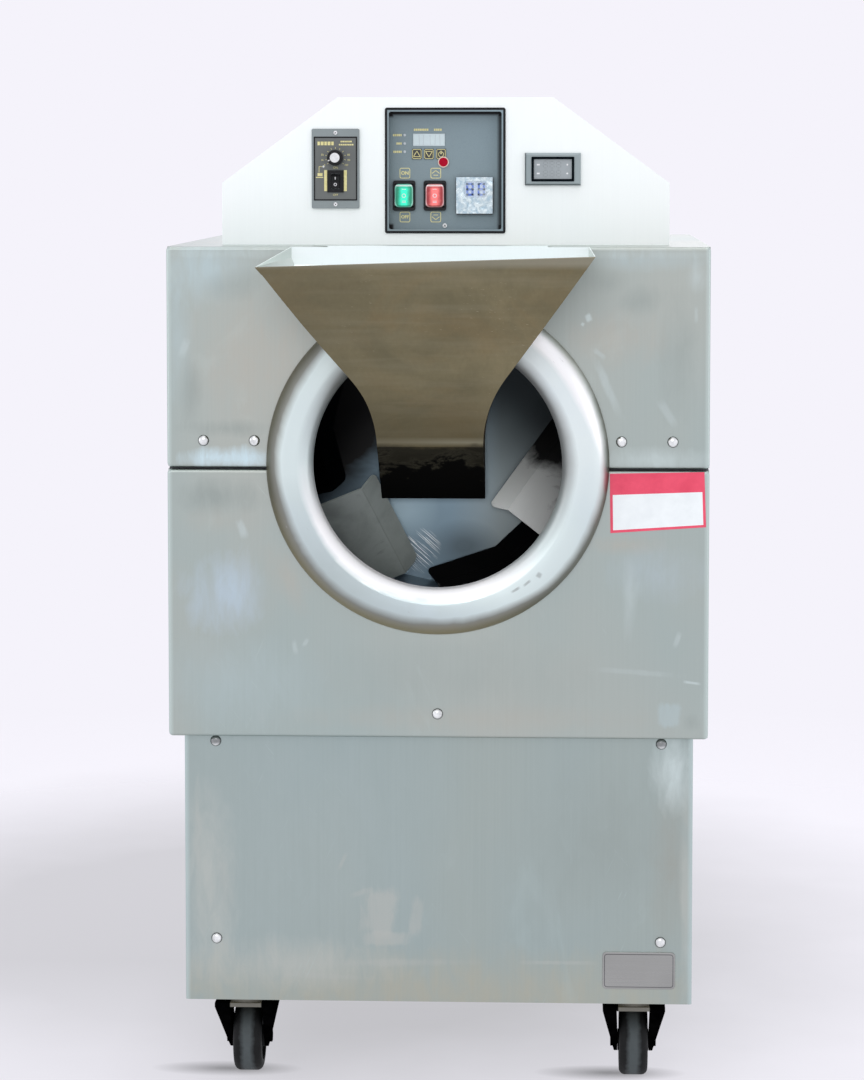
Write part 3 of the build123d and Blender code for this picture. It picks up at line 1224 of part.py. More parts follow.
# Sunken control tray with places for its switches, keys and instruments
ROCKER_BODY_W = ROCKER_W + 2 * ROCKER_GAP + 2 * ROCKER_BODY_WALL
ROCKER_BODY_H = 2 * ROCKER_R + 2 * ROCKER_GAP + 2 * ROCKER_BODY_WALL
ROCKER_POINTS = [(POWER_ROCKER_X, ROCKER_RISE), (DIRECTION_ROCKER_X, ROCKER_RISE)]
KEY_POINTS = [(KEY_MIDDLE_X + place * KEY_PITCH, KEY_RISE) for place in (-1, 0, 1)]
with BuildPart() as control_tray:
    with BuildSketch(front_plane(PANEL_SETBACK, TOP_Z)):
        with Locations((PANEL_X, TRAY_RISE)):
            RectangleRounded(TRAY_W, TRAY_H, TRAY_EDGE_R)
    extrude(amount=TRAY_RIM_T)
    with BuildSketch(front_plane(PANEL_SETBACK, TOP_Z)):
        with Locations((PANEL_X, TRAY_RISE)):
            Rectangle(TRAY_HOLE_W, TRAY_HOLE_H)
    extrude(amount=-(TRAY_DEPTH + TRAY_WALL))
    with BuildSketch(front_plane(PANEL_SETBACK - TRAY_RIM_T, TOP_Z)):
        with Locations((PANEL_X, TRAY_RISE)):
            RectangleRounded(TRAY_W - 2 * TRAY_RIM, TRAY_H - 2 * TRAY_RIM, TRAY_EDGE_R)
    extrude(amount=-(TRAY_RIM_T + TRAY_DEPTH), mode=Mode.SUBTRACT)
    with BuildSketch(front_plane(TRAY_FLOOR, TOP_Z)):
        with Locations(*ROCKER_POINTS):
            Rectangle(ROCKER_BODY_W + 2 * HOLE_PLAY, ROCKER_BODY_H + 2 * HOLE_PLAY)
        with Locations(*KEY_POINTS):
            Rectangle(KEY_W + 2 * KEY_GAP, KEY_H + 2 * KEY_GAP)
        with Locations((KEY_MIDDLE_X, WINDOW_RISE)):
            Rectangle(WINDOW_W, WINDOW_H)
        with Locations((CONTROLLER_X, CONTROLLER_RISE)):
            Rectangle(CONTROLLER_BODY + 2 * HOLE_PLAY, CONTROLLER_BODY + 2 * HOLE_PLAY)
    extrude(amount=-TRAY_WALL, mode=Mode.SUBTRACT)
write(control_tray.part, "control_tray")


# Frames of the two rocker switches
with BuildPart() as rocker_frames:
    with BuildSketch(front_plane(TRAY_FLOOR, TOP_Z)):
        with Locations(*ROCKER_POINTS):
            RectangleRounded(ROCKER_FRAME_W, ROCKER_FRAME_H, TRAY_EDGE_R)
    extrude(amount=ROCKER_FRAME_T)
    with BuildSketch(front_plane(TRAY_FLOOR, TOP_Z)):
        with Locations(*ROCKER_POINTS):
            Rectangle(ROCKER_BODY_W, ROCKER_BODY_H)
    extrude(amount=-ROCKER_BODY_L)
    with BuildSketch(front_plane(TRAY_FLOOR - ROCKER_FRAME_T, TOP_Z)):
        with Locations(*ROCKER_POINTS):
            Rectangle(ROCKER_W + 2 * ROCKER_GAP, 2 * ROCKER_R + 2 * ROCKER_GAP)
    extrude(amount=-(ROCKER_FRAME_T + ROCKER_R + ROCKER_GAP), mode=Mode.SUBTRACT)
write(rocker_frames.part, "rocker_frames")


# Rockers: a round back about the pivot and a front dished towards the middle
def rocker(x, z, pivot_depth, width, radius, proud, valley, tilt=0.0):
    """One rocker, its pivot along X at a depth, its lower end pressed in by a tilt."""
    rearwards = (0, cos(radians(tilt)), sin(radians(tilt)))
    side_view = Plane(origin=(x, FRONT_Y + pivot_depth, z), x_dir=rearwards, z_dir=(1, 0, 0))
    with BuildPart() as cap:
        with BuildSketch(side_view):
            Circle(radius)
        extrude(amount=width / 2, both=True)
        with BuildSketch(side_view):
            with BuildLine():
                Polyline(
                    (-2 * radius, radius),
                    (-proud, radius),
                    (valley - proud, 0),
                    (-proud, -radius),
                    (-2 * radius, -radius),
                    close=True,
                )
            make_face()
        extrude(amount=width, both=True, mode=Mode.SUBTRACT)
    return cap.part


for x, name in ((POWER_ROCKER_X, "power_rocker"), (DIRECTION_ROCKER_X, "direction_rocker")):
    write(
        rocker(x, TOP_Z + ROCKER_RISE, TRAY_FLOOR, ROCKER_W, ROCKER_R, ROCKER_PROUD, ROCKER_VALLEY),
        name,
    )


# Keys of the process display, each held behind the tray floor by a flange
for (x, rise), name in zip(KEY_POINTS, ("key_up", "key_down", "key_power")):
    with BuildPart() as key:
        with BuildSketch(front_plane(TRAY_FLOOR - KEY_PROUD, TOP_Z + rise, x)):
            Rectangle(KEY_W, KEY_H)
        extrude(amount=-(KEY_PROUD + TRAY_WALL + KEY_GAP))
        with BuildSketch(front_plane(TRAY_FLOOR + TRAY_WALL + KEY_GAP, TOP_Z + rise, x)):
            Rectangle(KEY_W + 2 * KEY_FLANGE, KEY_H + 2 * KEY_FLANGE)
        extrude(amount=-KEY_FLANGE_T)
    write(key.part, name)


# Window of the process display, stepped into the tray floor
with BuildPart() as display_window:
    with BuildSketch(front_plane(TRAY_FLOOR - WINDOW_PROUD, TOP_Z + WINDOW_RISE, KEY_MIDDLE_X)):
        Rectangle(WINDOW_W - 2 * HOLE_PLAY, WINDOW_H - 2 * HOLE_PLAY)
    extrude(amount=-(WINDOW_PROUD + TRAY_WALL))
    with BuildSketch(front_plane(TRAY_FLOOR + TRAY_WALL, TOP_Z + WINDOW_RISE, KEY_MIDDLE_X)):
        Rectangle(WINDOW_W + 2 * WINDOW_EDGE, WINDOW_H)
    extrude(amount=-WINDOW_EDGE)
write(display_window.part, "display_window")


# Square temperature controller in the tray
with BuildPart() as temperature_controller:
    face = front_plane(TRAY_FLOOR, TOP_Z + CONTROLLER_RISE, CONTROLLER_X)
    with BuildSketch(face):
        RectangleRounded(CONTROLLER, CONTROLLER, CONTROLLER_EDGE_R)
    extrude(amount=CONTROLLER_T)
    with BuildSketch(face.offset(CONTROLLER_T)):
        Rectangle(CONTROLLER - 2 * CONTROLLER_FACE, CONTROLLER - 2 * CONTROLLER_FACE)
    extrude(amount=-CONTROLLER_SINK, mode=Mode.SUBTRACT)
    with BuildSketch(face):
        Rectangle(CONTROLLER_BODY, CONTROLLER_BODY)
    extrude(amount=-CONTROLLER_BODY_L)
write(temperature_controller.part, "temperature_controller")


# Speed controller, its knob and its run switch
with BuildPart() as speed_controller:
    plate = front_plane(PANEL_SETBACK, TOP_Z + SPEED_RISE, SPEED_X)
    with BuildSketch(plate):
        RectangleRounded(SPEED_W, SPEED_H, SPEED_EDGE_R)
    extrude(amount=SPEED_T)
    with BuildSketch(plate.offset(SPEED_T)):
        with Locations((0, -RUN_ROCKER_DROP)):
            Rectangle(RUN_FRAME_W, RUN_FRAME_H)
    extrude(amount=RUN_FRAME_T)
    with BuildSketch(plate):
        Rectangle(SPEED_BODY_W, SPEED_BODY_H)
    extrude(amount=-SPEED_BODY_L)
    with BuildSketch(plate.offset(SPEED_T)):
        with Locations((0, KNOB_RISE)):
            Circle(KNOB_STEM_R + SHAFT_FIT)
    extrude(amount=-(KNOB_STEM_L + RUN_GAP), mode=Mode.SUBTRACT)
    with BuildSketch(plate.offset(SPEED_T + RUN_FRAME_T)):
        with Locations((0, -RUN_ROCKER_DROP)):
            Rectangle(RUN_ROCKER_W + 2 * ROCKER_GAP, 2 * RUN_ROCKER_R + 2 * ROCKER_GAP)
    extrude(amount=-(RUN_FRAME_T + RUN_ROCKER_R + ROCKER_GAP), mode=Mode.SUBTRACT)
write(speed_controller.part, "speed_controller")

write(
    rocker(
        SPEED_X,
        TOP_Z + SPEED_RISE - RUN_ROCKER_DROP,
        PANEL_SETBACK - SPEED_T,
        RUN_ROCKER_W,
        RUN_ROCKER_R,
        RUN_ROCKER_PROUD,
        RUN_ROCKER_VALLEY,
        RUN_ROCKER_TILT,
    ),
    "run_rocker",
)

with BuildPart() as speed_knob:
    base = front_plane(PANEL_SETBACK - SPEED_T - RUN_GAP, TOP_Z + SPEED_RISE + KNOB_RISE, SPEED_X)
    with BuildSketch(base):
        Circle(KNOB_R)
    extrude(amount=KNOB_L)
    fillet(speed_knob.faces().sort_by(Axis.Y)[0].edges(), KNOB_EDGE_R)
    with BuildSketch(base.offset(KNOB_L)):
        Circle(KNOB_CAP_R)
    extrude(amount=KNOB_CAP_L)
    with BuildSketch(base):
        Circle(KNOB_STEM_R)
    extrude(amount=-KNOB_STEM_L)
write(speed_knob.part, "speed_knob")


# Digital display at the right of the panel
with BuildPart() as temperature_display:
    face = front_plane(PANEL_SETBACK, TOP_Z + READOUT_RISE, READOUT_X)
    with BuildSketch(face):
        Rectangle(READOUT_W, READOUT_H)
    extrude(amount=READOUT_T)
    chamfer(temperature_display.faces().sort_by(Axis.Y)[0].edges(), READOUT_EDGE_R)
    with BuildSketch(face.offset(READOUT_T)):
        Rectangle(READOUT_GLASS_W, READOUT_GLASS_H)
    extrude(amount=-READOUT_SINK, mode=Mode.SUBTRACT)
    with BuildSketch(face):
        Rectangle(READOUT_BODY_W, READOUT_BODY_H)
    extrude(amount=-READOUT_BODY_L)
write(temperature_display.part, "temperature_display")
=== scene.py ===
# %% [markdown]
# # A drum roaster on casters, dressed for its portrait
# The solids of the machine come from its construction model and stay exactly where they are.
# This lesson gives every solid a finish, adds the small things that a camera sees (print, lamps, a badge,
# a tag, a film), and lights the whole like a product on a pale floor.

# %% Load the frame
from math import cos, pi, radians, sin, sqrt

import bpy
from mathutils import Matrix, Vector, noise


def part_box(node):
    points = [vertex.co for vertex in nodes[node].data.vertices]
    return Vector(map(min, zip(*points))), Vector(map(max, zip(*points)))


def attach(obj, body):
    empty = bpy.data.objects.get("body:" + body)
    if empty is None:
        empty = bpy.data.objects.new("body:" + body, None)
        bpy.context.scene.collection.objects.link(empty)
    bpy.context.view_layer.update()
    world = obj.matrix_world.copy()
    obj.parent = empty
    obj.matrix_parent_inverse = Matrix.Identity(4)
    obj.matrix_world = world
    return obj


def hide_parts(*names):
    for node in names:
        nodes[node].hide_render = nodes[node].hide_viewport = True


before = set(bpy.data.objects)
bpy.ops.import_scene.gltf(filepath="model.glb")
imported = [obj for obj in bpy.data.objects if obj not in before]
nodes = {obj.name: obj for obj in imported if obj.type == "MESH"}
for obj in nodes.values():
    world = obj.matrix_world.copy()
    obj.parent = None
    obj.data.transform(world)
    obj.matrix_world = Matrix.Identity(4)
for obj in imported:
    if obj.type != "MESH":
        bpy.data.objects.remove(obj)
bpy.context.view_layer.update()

MM = 0.001


def middle(name):
    """Centre of a solid's box."""
    low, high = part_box(name)
    return (low + high) / 2


def front_of(name):
    """Middle of a solid as the front shows it: x, the plane of its face, z."""
    centre = middle(name)
    return centre.x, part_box(name)[0].y, centre.z


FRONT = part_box("hood_front_panel")[0].y
CASING_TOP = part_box("hood_top")[1].z
SEAM_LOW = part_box("tub_front_panel")[1].z
CABINET_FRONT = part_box("cabinet_front_panel")[0].y
DRUM_AXIS_Z = middle("mouth_ring").z
print("casing front", round(FRONT, 4), "casing top", round(CASING_TOP, 4), "solids", len(nodes))

# %% [markdown]
# ## The camera
# The photographer stood about four metres away, a little right of the middle and at chest height, with a
# long lens. The lens looks slightly down, and the picture is shifted down so that the casters are in it.

# %% Place the camera
CAMERA_X = 165 * MM
CAMERA_BACK = 4000 * MM
CAMERA_HEIGHT = 1182 * MM
CAMERA_YAW = 2.46
CAMERA_PITCH = 4.21
CAMERA_LENS = 107.03
CAMERA_SENSOR = 36
CAMERA_SHIFT = -0.13

bpy.ops.object.select_all(action="DESELECT")
bpy.ops.object.camera_add(
    location=(CAMERA_X, FRONT - CAMERA_BACK, CAMERA_HEIGHT),
    rotation=(radians(90 - CAMERA_PITCH), 0, radians(CAMERA_YAW)),
)
camera = bpy.context.object
camera.name = "portrait_camera"
camera.data.lens = CAMERA_LENS
camera.data.sensor_width = CAMERA_SENSOR
camera.data.shift_y = CAMERA_SHIFT
bpy.context.scene.camera = camera
print("camera", [round(v, 3) for v in camera.location])

# %% [markdown]
# ## Helpers for finishes
# A finish is a Principled shader whose colour, roughness and bump come from noise on Object coordinates. It
# could be painted as an image, but noise keeps its scale on every panel and shows no seams. Every solid sits
# at the origin unscaled, so one metre in the pattern is one metre on the machine.

# %% A finish under work
SOCKETS = {
    "metal": "Metallic",
    "shine": "Specular IOR Level",
    "shine_tint": "Specular Tint",
    "coat": "Coat Weight",
    "coat_rough": "Coat Roughness",
    "glow": "Emission Color",
    "glow_strength": "Emission Strength",
    "alpha": "Alpha",
}
# Half depth of a mark on the front, in metres: far more than the machine has
THROUGH = 1000


class Finish:
    """A material under work: each method adds nodes to it and gives back a socket."""

    def __init__(self, name):
        self.material = bpy.data.materials.new(name)
        self.material.use_nodes = True
        self.tree = self.material.node_tree
        self.shader = self.tree.nodes["Principled BSDF"]

    def feed(self, socket, value):
        """Link a socket to another one, or set it to a constant."""
        if isinstance(value, bpy.types.NodeSocket):
            self.tree.links.new(value, socket)
        elif socket.type == "RGBA":
            socket.default_value = (*value, 1)
        else:
            socket.default_value = value

    def node(self, kind, output, sockets, **settings):
        """Add a node, feed its sockets and give back one of its outputs."""
        node = self.tree.nodes.new("ShaderNode" + kind)
        for name, value in settings.items():
            setattr(node, name, value)
        for key, value in sockets.items():
            self.feed(node.inputs[key], value)
        return node.outputs[output]

    def done(self, colour, rough, bump=None, **others):
        """Feed the shader and give back the finished material."""
        self.feed(self.shader.inputs["Base Color"], colour)
        self.feed(self.shader.inputs["Roughness"], rough)
        for word, value in others.items():
            self.feed(self.shader.inputs[SOCKETS[word]], value)
        if bump:
            height, strength, depth = bump
            sockets = {"Height": height, "Strength": strength, "Distance": depth}
            self.feed(self.shader.inputs["Normal"], self.node("Bump", "Normal", sockets))
        return self.material

    def coordinates(self, kind="Object"):
        """Where a place lies on the machine, or with another kind how it is turned."""
        return self.node("TexCoord", kind, {})

    def place(self, stretch=(1, 1, 1), turn=(0, 0, 0), shift=(0, 0, 0)):
        """Object coordinates, stretched, turned and shifted."""
        angles = [radians(a) for a in turn]
        sockets = {"Vector": self.coordinates(), "Location": shift, "Rotation": angles, "Scale": stretch}
        return self.node("Mapping", "Vector", sockets)

    def patch(self, at, half, turn=0):
        """Coordinates of a mark on the front: zero at its middle, one at its edge, turned from level."""
        sockets = {
            "Vector": self.coordinates(),
            "Location": (at[0], 0, at[1]),
            "Rotation": (0, -radians(turn), 0),
            "Scale": (half[0], THROUGH, half[1]),
        }
        return self.node("Mapping", "Vector", sockets, vector_type="TEXTURE")

    def stretched(self, vector, stretch):
        """A vector with each axis stretched."""
        return self.node("VectorMath", "Vector", {0: vector, 1: stretch}, operation="MULTIPLY")

    def cloud(self, scale, detail=4.0, rough=0.55, distort=0.0, at=None):
        """Noise of a given scale."""
        if at is None:
            at = self.place()
        sockets = {"Vector": at, "Scale": scale, "Detail": detail, "Roughness": rough, "Distortion": distort}
        return self.node("TexNoise", "Fac", sockets)

    def span(self, value, low, high, start=0.0, end=1.0):
        """Turn a value from one range to another, held at the ends."""
        sockets = {"Value": value, "From Min": start, "From Max": end, "To Min": low, "To Max": high}
        return self.node("MapRange", "Result", sockets)

    def calc(self, kind, a, b=0.0):
        """One sum on two values."""
        return self.node("Math", "Value", {0: a, 1: b}, operation=kind)

    def plus(self, a, b):
        """Two values added."""
        return self.calc("ADD", a, b)

    def times(self, a, b):
        """Two values multiplied."""
        return self.calc("MULTIPLY", a, b)

    def size(self, a):
        """A value without its sign."""
        return self.calc("ABSOLUTE", a)

    def ramp(self, value, low, high, at=(0.0, 1.0)):
        """Turn a value into a colour between two colours."""
        node = self.tree.nodes.new("ShaderNodeValToRGB")
        first, last = node.color_ramp.elements
        first.position, last.position = at
        first.color = (*low, 1)
        last.color = (*high, 1)
        self.feed(node.inputs["Fac"], value)
        return node.outputs["Color"]

    def blend(self, share, a, b):
        """Mix two colours by a share."""
        return self.node("Mix", 2, {0: share, 6: a, 7: b}, data_type="RGBA")

    def tint(self, colour, over, value, low, high, start=0.0, end=1.0):
        """Lay one colour over another by a share that a value is turned into."""
        return self.blend(self.span(value, low, high, start, end), colour, over)

    def along(self, axis, start=0.0):
        """How far along X, Y or Z a place lies from a start."""
        value = self.node("SeparateXYZ", axis, {"Vector": self.coordinates()})
        return self.calc("SUBTRACT", value, start)

    def facing(self, axis):
        """One where a surface looks along an axis, zero where it looks across it."""
        return self.size(self.node("SeparateXYZ", axis, {"Vector": self.coordinates("Normal")}))

    def edges(self, axis, half, line):
        """One in a strip along both ends of an axis, zero elsewhere."""
        return self.span(self.size(self.along(axis)), 0.0, 1.0, half - line, half - line / 3)

    def length(self, vector):
        """Length of a vector."""
        return self.node("VectorMath", "Value", {0: vector}, operation="LENGTH")

    def box_length(self, vector):
        """Like a length, but one along the outline of a rounded box instead of a round."""
        powers = []
        for axis in "XZ":
            part = self.size(self.node("SeparateXYZ", axis, {"Vector": vector}))
            powers.append(self.calc("POWER", part, 5))
        return self.calc("POWER", self.plus(*powers), 0.2)

    def distance(self, centre, stretch=(1, 1, 1)):
        """How far a place lies from a centre, each axis stretched."""
        shift = [-c * s for c, s in zip(centre, stretch)]
        return self.length(self.place(stretch, shift=shift))


print("shader helpers ready")

# %% [markdown]
# ## Brushed stainless steel
# The casing is brushed sheet: a fine grain in one direction, soft cloudy smears where it was wiped, a few
# pale patches of dried polish, and thin scratches. Over these lie painted reflections, painted shade and a
# painted highlight along each bent side edge. Grain could come from an image, but noise stretched along
# the sheet keeps its scale on every panel.

# %% Brushed sheet
GRAIN_UPRIGHT = (420, 420, 5)
GRAIN_LEVEL = (5, 420, 420)
ROUND_FROM = 0.65
# Width of the painted highlight along a bent side edge
BEND_HIGHLIGHT_WIDTH = 7 * MM


def scratches(f, turn, along, across, keep):
    """Thin broken lines in one direction, as a mask."""
    lines = f.cloud(1.0, 3.0, 0.6, at=f.stretched(f.place(turn=turn), (across, across, along)))
    thin = f.span(lines, 0.0, 1.0, keep, keep + 0.02)
    patchy = f.span(f.cloud(7.0, 2.0), 0.0, 1.0, 0.52, 0.62)
    return f.times(thin, patchy)


# Marks are painted reflections, painted shade, painted highlights, scuffs and residue
def frayed_mark(f, colour, mark, streaks):
    """Lay one mark over a colour, frayed by streaks: soft marks are round, crisp ones are rounded boxes."""
    at, half, turn, share, soft, tint = mark
    local = f.patch(at, half, turn)
    outline = f.length(local) if soft > ROUND_FROM else f.box_length(local)
    frayed = f.plus(outline, f.span(streaks, -0.24, 0.24, 0.3, 0.7))
    inside = f.span(frayed, share, 0.0, 1 - soft, 1.0)
    strength = f.times(inside, f.span(streaks, 1.0, 0.65, 0.4, 0.7))
    return f.blend(strength, colour, tint)


def brushed_sheet(name, cool, warm, roughness, smear, grain=GRAIN_UPRIGHT, metal=1.0, marks=(), half=0.0,
                  last=None):
    """Brushed steel with smears, marks, scratches, a painted highlight along both bent side edges, and a last
    touch.
    """
    f = Finish(name)
    darker = tuple(0.72 * c for c in cool)
    paler = tuple(min(1.4 * c, 0.97) for c in cool)
    lines = f.cloud(1.0, 6.0, 0.65, at=f.place(grain))
    broad = f.cloud(3.2, 3.0, 0.5, 0.6, f.place((1, 1, 0.7)))
    wiped = f.cloud(9.0, 5.0, 0.6, 1.4, f.place((1, 1, 0.45), (0, 18, 0)))
    streaks = f.cloud(1.0, 7.0, 0.66, 0.5, f.place((44, 44, 15)))
    colour = f.ramp(broad, cool, warm, (0.34, 0.66))
    colour = f.tint(colour, darker, lines, 0.0, 0.05, 0.4, 0.7)
    for mark in marks:
        colour = frayed_mark(f, colour, mark, streaks)
    smeared = f.span(wiped, 0.0, smear, 0.6, 0.75)
    colour = f.blend(smeared, colour, paler)
    fine = f.plus(scratches(f, (0, 38, 12), 14, 900, 0.7), scratches(f, (0, -24, 5), 10, 800, 0.7))
    colour = f.blend(f.times(fine, 0.5), colour, paler)
    if half:
        # A painted highlight along both bent side edges
        colour = f.blend(f.times(f.edges("X", half, BEND_HIGHLIGHT_WIDTH), 0.75), colour, paler)
    if last:
        colour = last(f, colour)
    rough = f.span(lines, roughness - 0.05, roughness + 0.05, 0.3, 0.7)
    rough = f.plus(rough, f.times(smeared, 0.2))
    return f.done(colour, rough, (lines, 0.03, 0.0003), metal=metal)


STEEL_COOL = (0.405, 0.478, 0.452)
STEEL_WARM = (0.455, 0.486, 0.440)
CABINET_COOL = (0.364, 0.441, 0.428)
CABINET_WARM = (0.386, 0.445, 0.414)
# Tints for the marks: the straw, bluish, sky, mellow and linen tints are painted reflections, the gleam and
# ice tints painted highlights, the dim and shade tints painted shade. The pale tint serves scuffs and painted
# highlights, the dust tint dried polish.
GLEAM = (0.64, 0.74, 0.72)
PALE_SCUFF_AND_HIGHLIGHT = (0.55, 0.63, 0.61)
DUST = (0.480, 0.510, 0.470)
MELLOW_REFLECTION = (0.440, 0.450, 0.375)
LINEN_REFLECTION = (0.510, 0.545, 0.500)
DIM_SHADE = (0.372, 0.398, 0.358)
SKY_REFLECTION = (0.490, 0.590, 0.635)
ICE_HIGHLIGHT = (0.630, 0.790, 0.830)
STRAW_REFLECTION = (0.475, 0.468, 0.405)
BLUISH_REFLECTION = (0.475, 0.575, 0.575)
SHADE = (0.31, 0.355, 0.330)
CASING_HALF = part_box("hood_front_panel")[1].x
CABINET_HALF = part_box("cabinet_front_panel")[1].x
print("casing half width", round(CASING_HALF, 4), "cabinet half width", round(CABINET_HALF, 4))

# %% [markdown]
# The marks on these panels are listed panel by panel: place, half size, turn, share, softness and tint.
# Most are soft clouds of painted reflection and painted shade, with painted highlights along some edges;
# a few are smears, scuffs and residue with crisp edges. They could be painted on, but as nodes they stay
# sharp at any distance.

# %% Marks on the hood, the tub and the cabinet
# On the hood: painted reflections, painted shade and painted highlights, with a few pale scuffs
HOOD_PAINTED_LIGHT_AND_SCUFFS = [
    ((-0.220, 0.950), (0.100, 0.105), 0, 0.8, 0.95, STRAW_REFLECTION),
    ((-0.290, 1.050), (0.070, 0.050), 0, 0.9, 0.95, BLUISH_REFLECTION),
    ((-0.252, 1.030), (0.046, 0.024), 10, 0.6, 0.95, SHADE),
    ((-0.325, 0.955), (0.020, 0.085), 0, 0.5, 0.9, BLUISH_REFLECTION),
    ((-0.310, 0.900), (0.018, 0.050), 0, 0.5, 0.9, SHADE),
    ((-0.318, 0.950), (0.006, 0.014), -20, 0.45, 0.6, PALE_SCUFF_AND_HIGHLIGHT),
    ((-0.265, 0.850), (0.060, 0.013), 0, 0.55, 0.9, SHADE),
    ((0.250, 1.062), (0.120, 0.016), 0, 0.55, 0.95, BLUISH_REFLECTION),
    ((0.252, 1.010), (0.032, 0.022), 16, 0.5, 0.95, SHADE),
    ((0.205, 1.035), (0.034, 0.020), 0, 0.35, 0.95, SHADE),
    ((0.324, 1.040), (0.016, 0.024), 0, 0.6, 0.9, PALE_SCUFF_AND_HIGHLIGHT),
    ((0.225, 0.965), (0.075, 0.040), 0, 0.7, 0.95, STRAW_REFLECTION),
    ((0.188, 0.990), (0.005, 0.006), 20, 0.75, 0.5, GLEAM),
    ((0.181, 0.982), (0.003, 0.003), 60, 0.7, 0.5, GLEAM),
    ((0.202, 0.945), (0.010, 0.004), -40, 0.5, 0.6, PALE_SCUFF_AND_HIGHLIGHT),
    ((0.212, 0.904), (0.046, 0.006), -66, 0.5, 0.6, PALE_SCUFF_AND_HIGHLIGHT),
    ((0.288, 0.870), (0.020, 0.006), -58, 0.45, 0.6, PALE_SCUFF_AND_HIGHLIGHT),
    ((0.322, 0.995), (0.003, 0.012), 0, 0.5, 0.6, PALE_SCUFF_AND_HIGHLIGHT),
    ((0.300, 0.940), (0.030, 0.090), 0, 0.4, 0.95, SHADE),
    ((0.0, 1.069), (0.40, 0.008), 0, 0.45, 0.9, GLEAM),
    ((-0.262, SEAM_LOW + 0.015), (0.075, 0.017), 0, 0.95, 0.75, ICE_HIGHLIGHT),
    ((0.270, SEAM_LOW + 0.014), (0.090, 0.018), 0, 0.5, 0.9, GLEAM),
]
# On the tub: painted reflections, painted shade and painted highlights, with a few pale scuffs and flecks
TUB_PAINTED_LIGHT_AND_SCUFFS = [
    ((-0.266, 0.641), (0.056, 0.060), 0, 1.0, 0.9, SKY_REFLECTION),
    ((-0.250, 0.530), (0.120, 0.070), 0, 0.45, 0.95, BLUISH_REFLECTION),
    ((-0.276, 0.764), (0.070, 0.026), 0, 0.65, 0.95, SHADE),
    ((-0.270, 0.735), (0.060, 0.020), 0, 0.3, 0.95, STRAW_REFLECTION),
    ((-0.190, 0.665), (0.030, 0.055), 28, 0.6, 0.95, STRAW_REFLECTION),
    ((-0.247, 0.725), (0.006, 0.013), 20, 0.6, 0.6, PALE_SCUFF_AND_HIGHLIGHT),
    ((-0.180, 0.574), (0.004, 0.010), 10, 0.5, 0.6, PALE_SCUFF_AND_HIGHLIGHT),
    ((-0.166, 0.580), (0.003, 0.006), -30, 0.5, 0.6, PALE_SCUFF_AND_HIGHLIGHT),
    ((0.235, 0.705), (0.060, 0.014), 0, 0.6, 0.95, STRAW_REFLECTION),
    ((0.275, 0.670), (0.070, 0.040), 0, 0.4, 0.95, SKY_REFLECTION),
    ((0.240, 0.640), (0.012, 0.060), 0, 0.4, 0.9, PALE_SCUFF_AND_HIGHLIGHT),
    ((0.300, 0.585), (0.004, 0.012), -20, 0.5, 0.6, PALE_SCUFF_AND_HIGHLIGHT),
    ((0.250, 0.545), (0.060, 0.004), -4, 0.3, 0.6, PALE_SCUFF_AND_HIGHLIGHT),
    ((0.320, 0.532), (0.012, 0.002), -8, 0.6, 0.6, GLEAM),
    ((0.291, 0.491), (0.017, 0.017), 0, 0.65, 0.3, BLUISH_REFLECTION),
    ((0.318, 0.482), (0.012, 0.014), 0, 0.5, 0.9, SHADE),
    ((0.040, 0.486), (0.260, 0.020), 0, 0.4, 0.95, STRAW_REFLECTION),
    ((0.020, 0.535), (0.220, 0.055), 0, 0.2, 0.95, SHADE),
]
# On the cabinet: painted reflections and painted shade, and dust-coloured marks of dried polish
CABINET_PAINTED_LIGHT_AND_RESIDUE = [
    ((-0.200, 0.300), (0.260, 0.300), 0, 0.55, 0.95, (0.405, 0.478, 0.462)),
    ((-0.290, 0.260), (0.040, 0.160), 0, 0.75, 0.9, LINEN_REFLECTION),
    ((-0.272, 0.270), (0.010, 0.050), 8, 0.5, 0.7, DUST),
    ((-0.306, 0.330), (0.006, 0.090), 0, 0.4, 0.7, DUST),
    ((-0.121, 0.298), (0.003, 0.014), -25, 0.5, 0.6, DUST),
    ((-0.098, 0.258), (0.016, 0.004), 20, 0.4, 0.6, DUST),
    ((-0.076, 0.232), (0.025, 0.033), -8, 0.72, 0.35, DUST),
    ((-0.068, 0.199), (0.034, 0.010), 0, 0.7, 0.4, DUST),
    ((-0.026, 0.230), (0.010, 0.027), -8, 0.55, 0.4, DUST),
    ((0.205, 0.330), (0.120, 0.110), 0, 0.35, 0.95, SHADE),
    ((0.296, 0.300), (0.030, 0.150), 0, 0.8, 0.95, DIM_SHADE),
    ((0.314, 0.260), (0.010, 0.170), 0, 0.6, 0.7, LINEN_REFLECTION),
    ((0.297, 0.415), (0.030, 0.060), 0, 0.75, 0.95, GLEAM),
    ((0.0, 0.128), (0.560, 0.066), 0, 0.95, 0.9, MELLOW_REFLECTION),
    ((-0.190, 0.165), (0.150, 0.040), 0, 0.75, 0.9, LINEN_REFLECTION),
    ((-0.060, 0.168), (0.120, 0.006), 1, 0.45, 0.7, DUST),
    ((0.150, 0.170), (0.050, 0.003), 0, 0.5, 0.5, DUST),
    ((-0.150, 0.150), (0.090, 0.005), -2, 0.4, 0.7, DUST),
]
casing_steel = brushed_sheet("casing_brushed", STEEL_COOL, STEEL_WARM, 0.40, 0.2)
hood_steel = brushed_sheet(
    "hood_brushed", STEEL_COOL, STEEL_WARM, 0.40, 0.25, marks=HOOD_PAINTED_LIGHT_AND_SCUFFS, half=CASING_HALF
)
tub_steel = brushed_sheet(
    "tub_brushed", STEEL_COOL, STEEL_WARM, 0.40, 0.25, marks=TUB_PAINTED_LIGHT_AND_SCUFFS, half=CASING_HALF
)
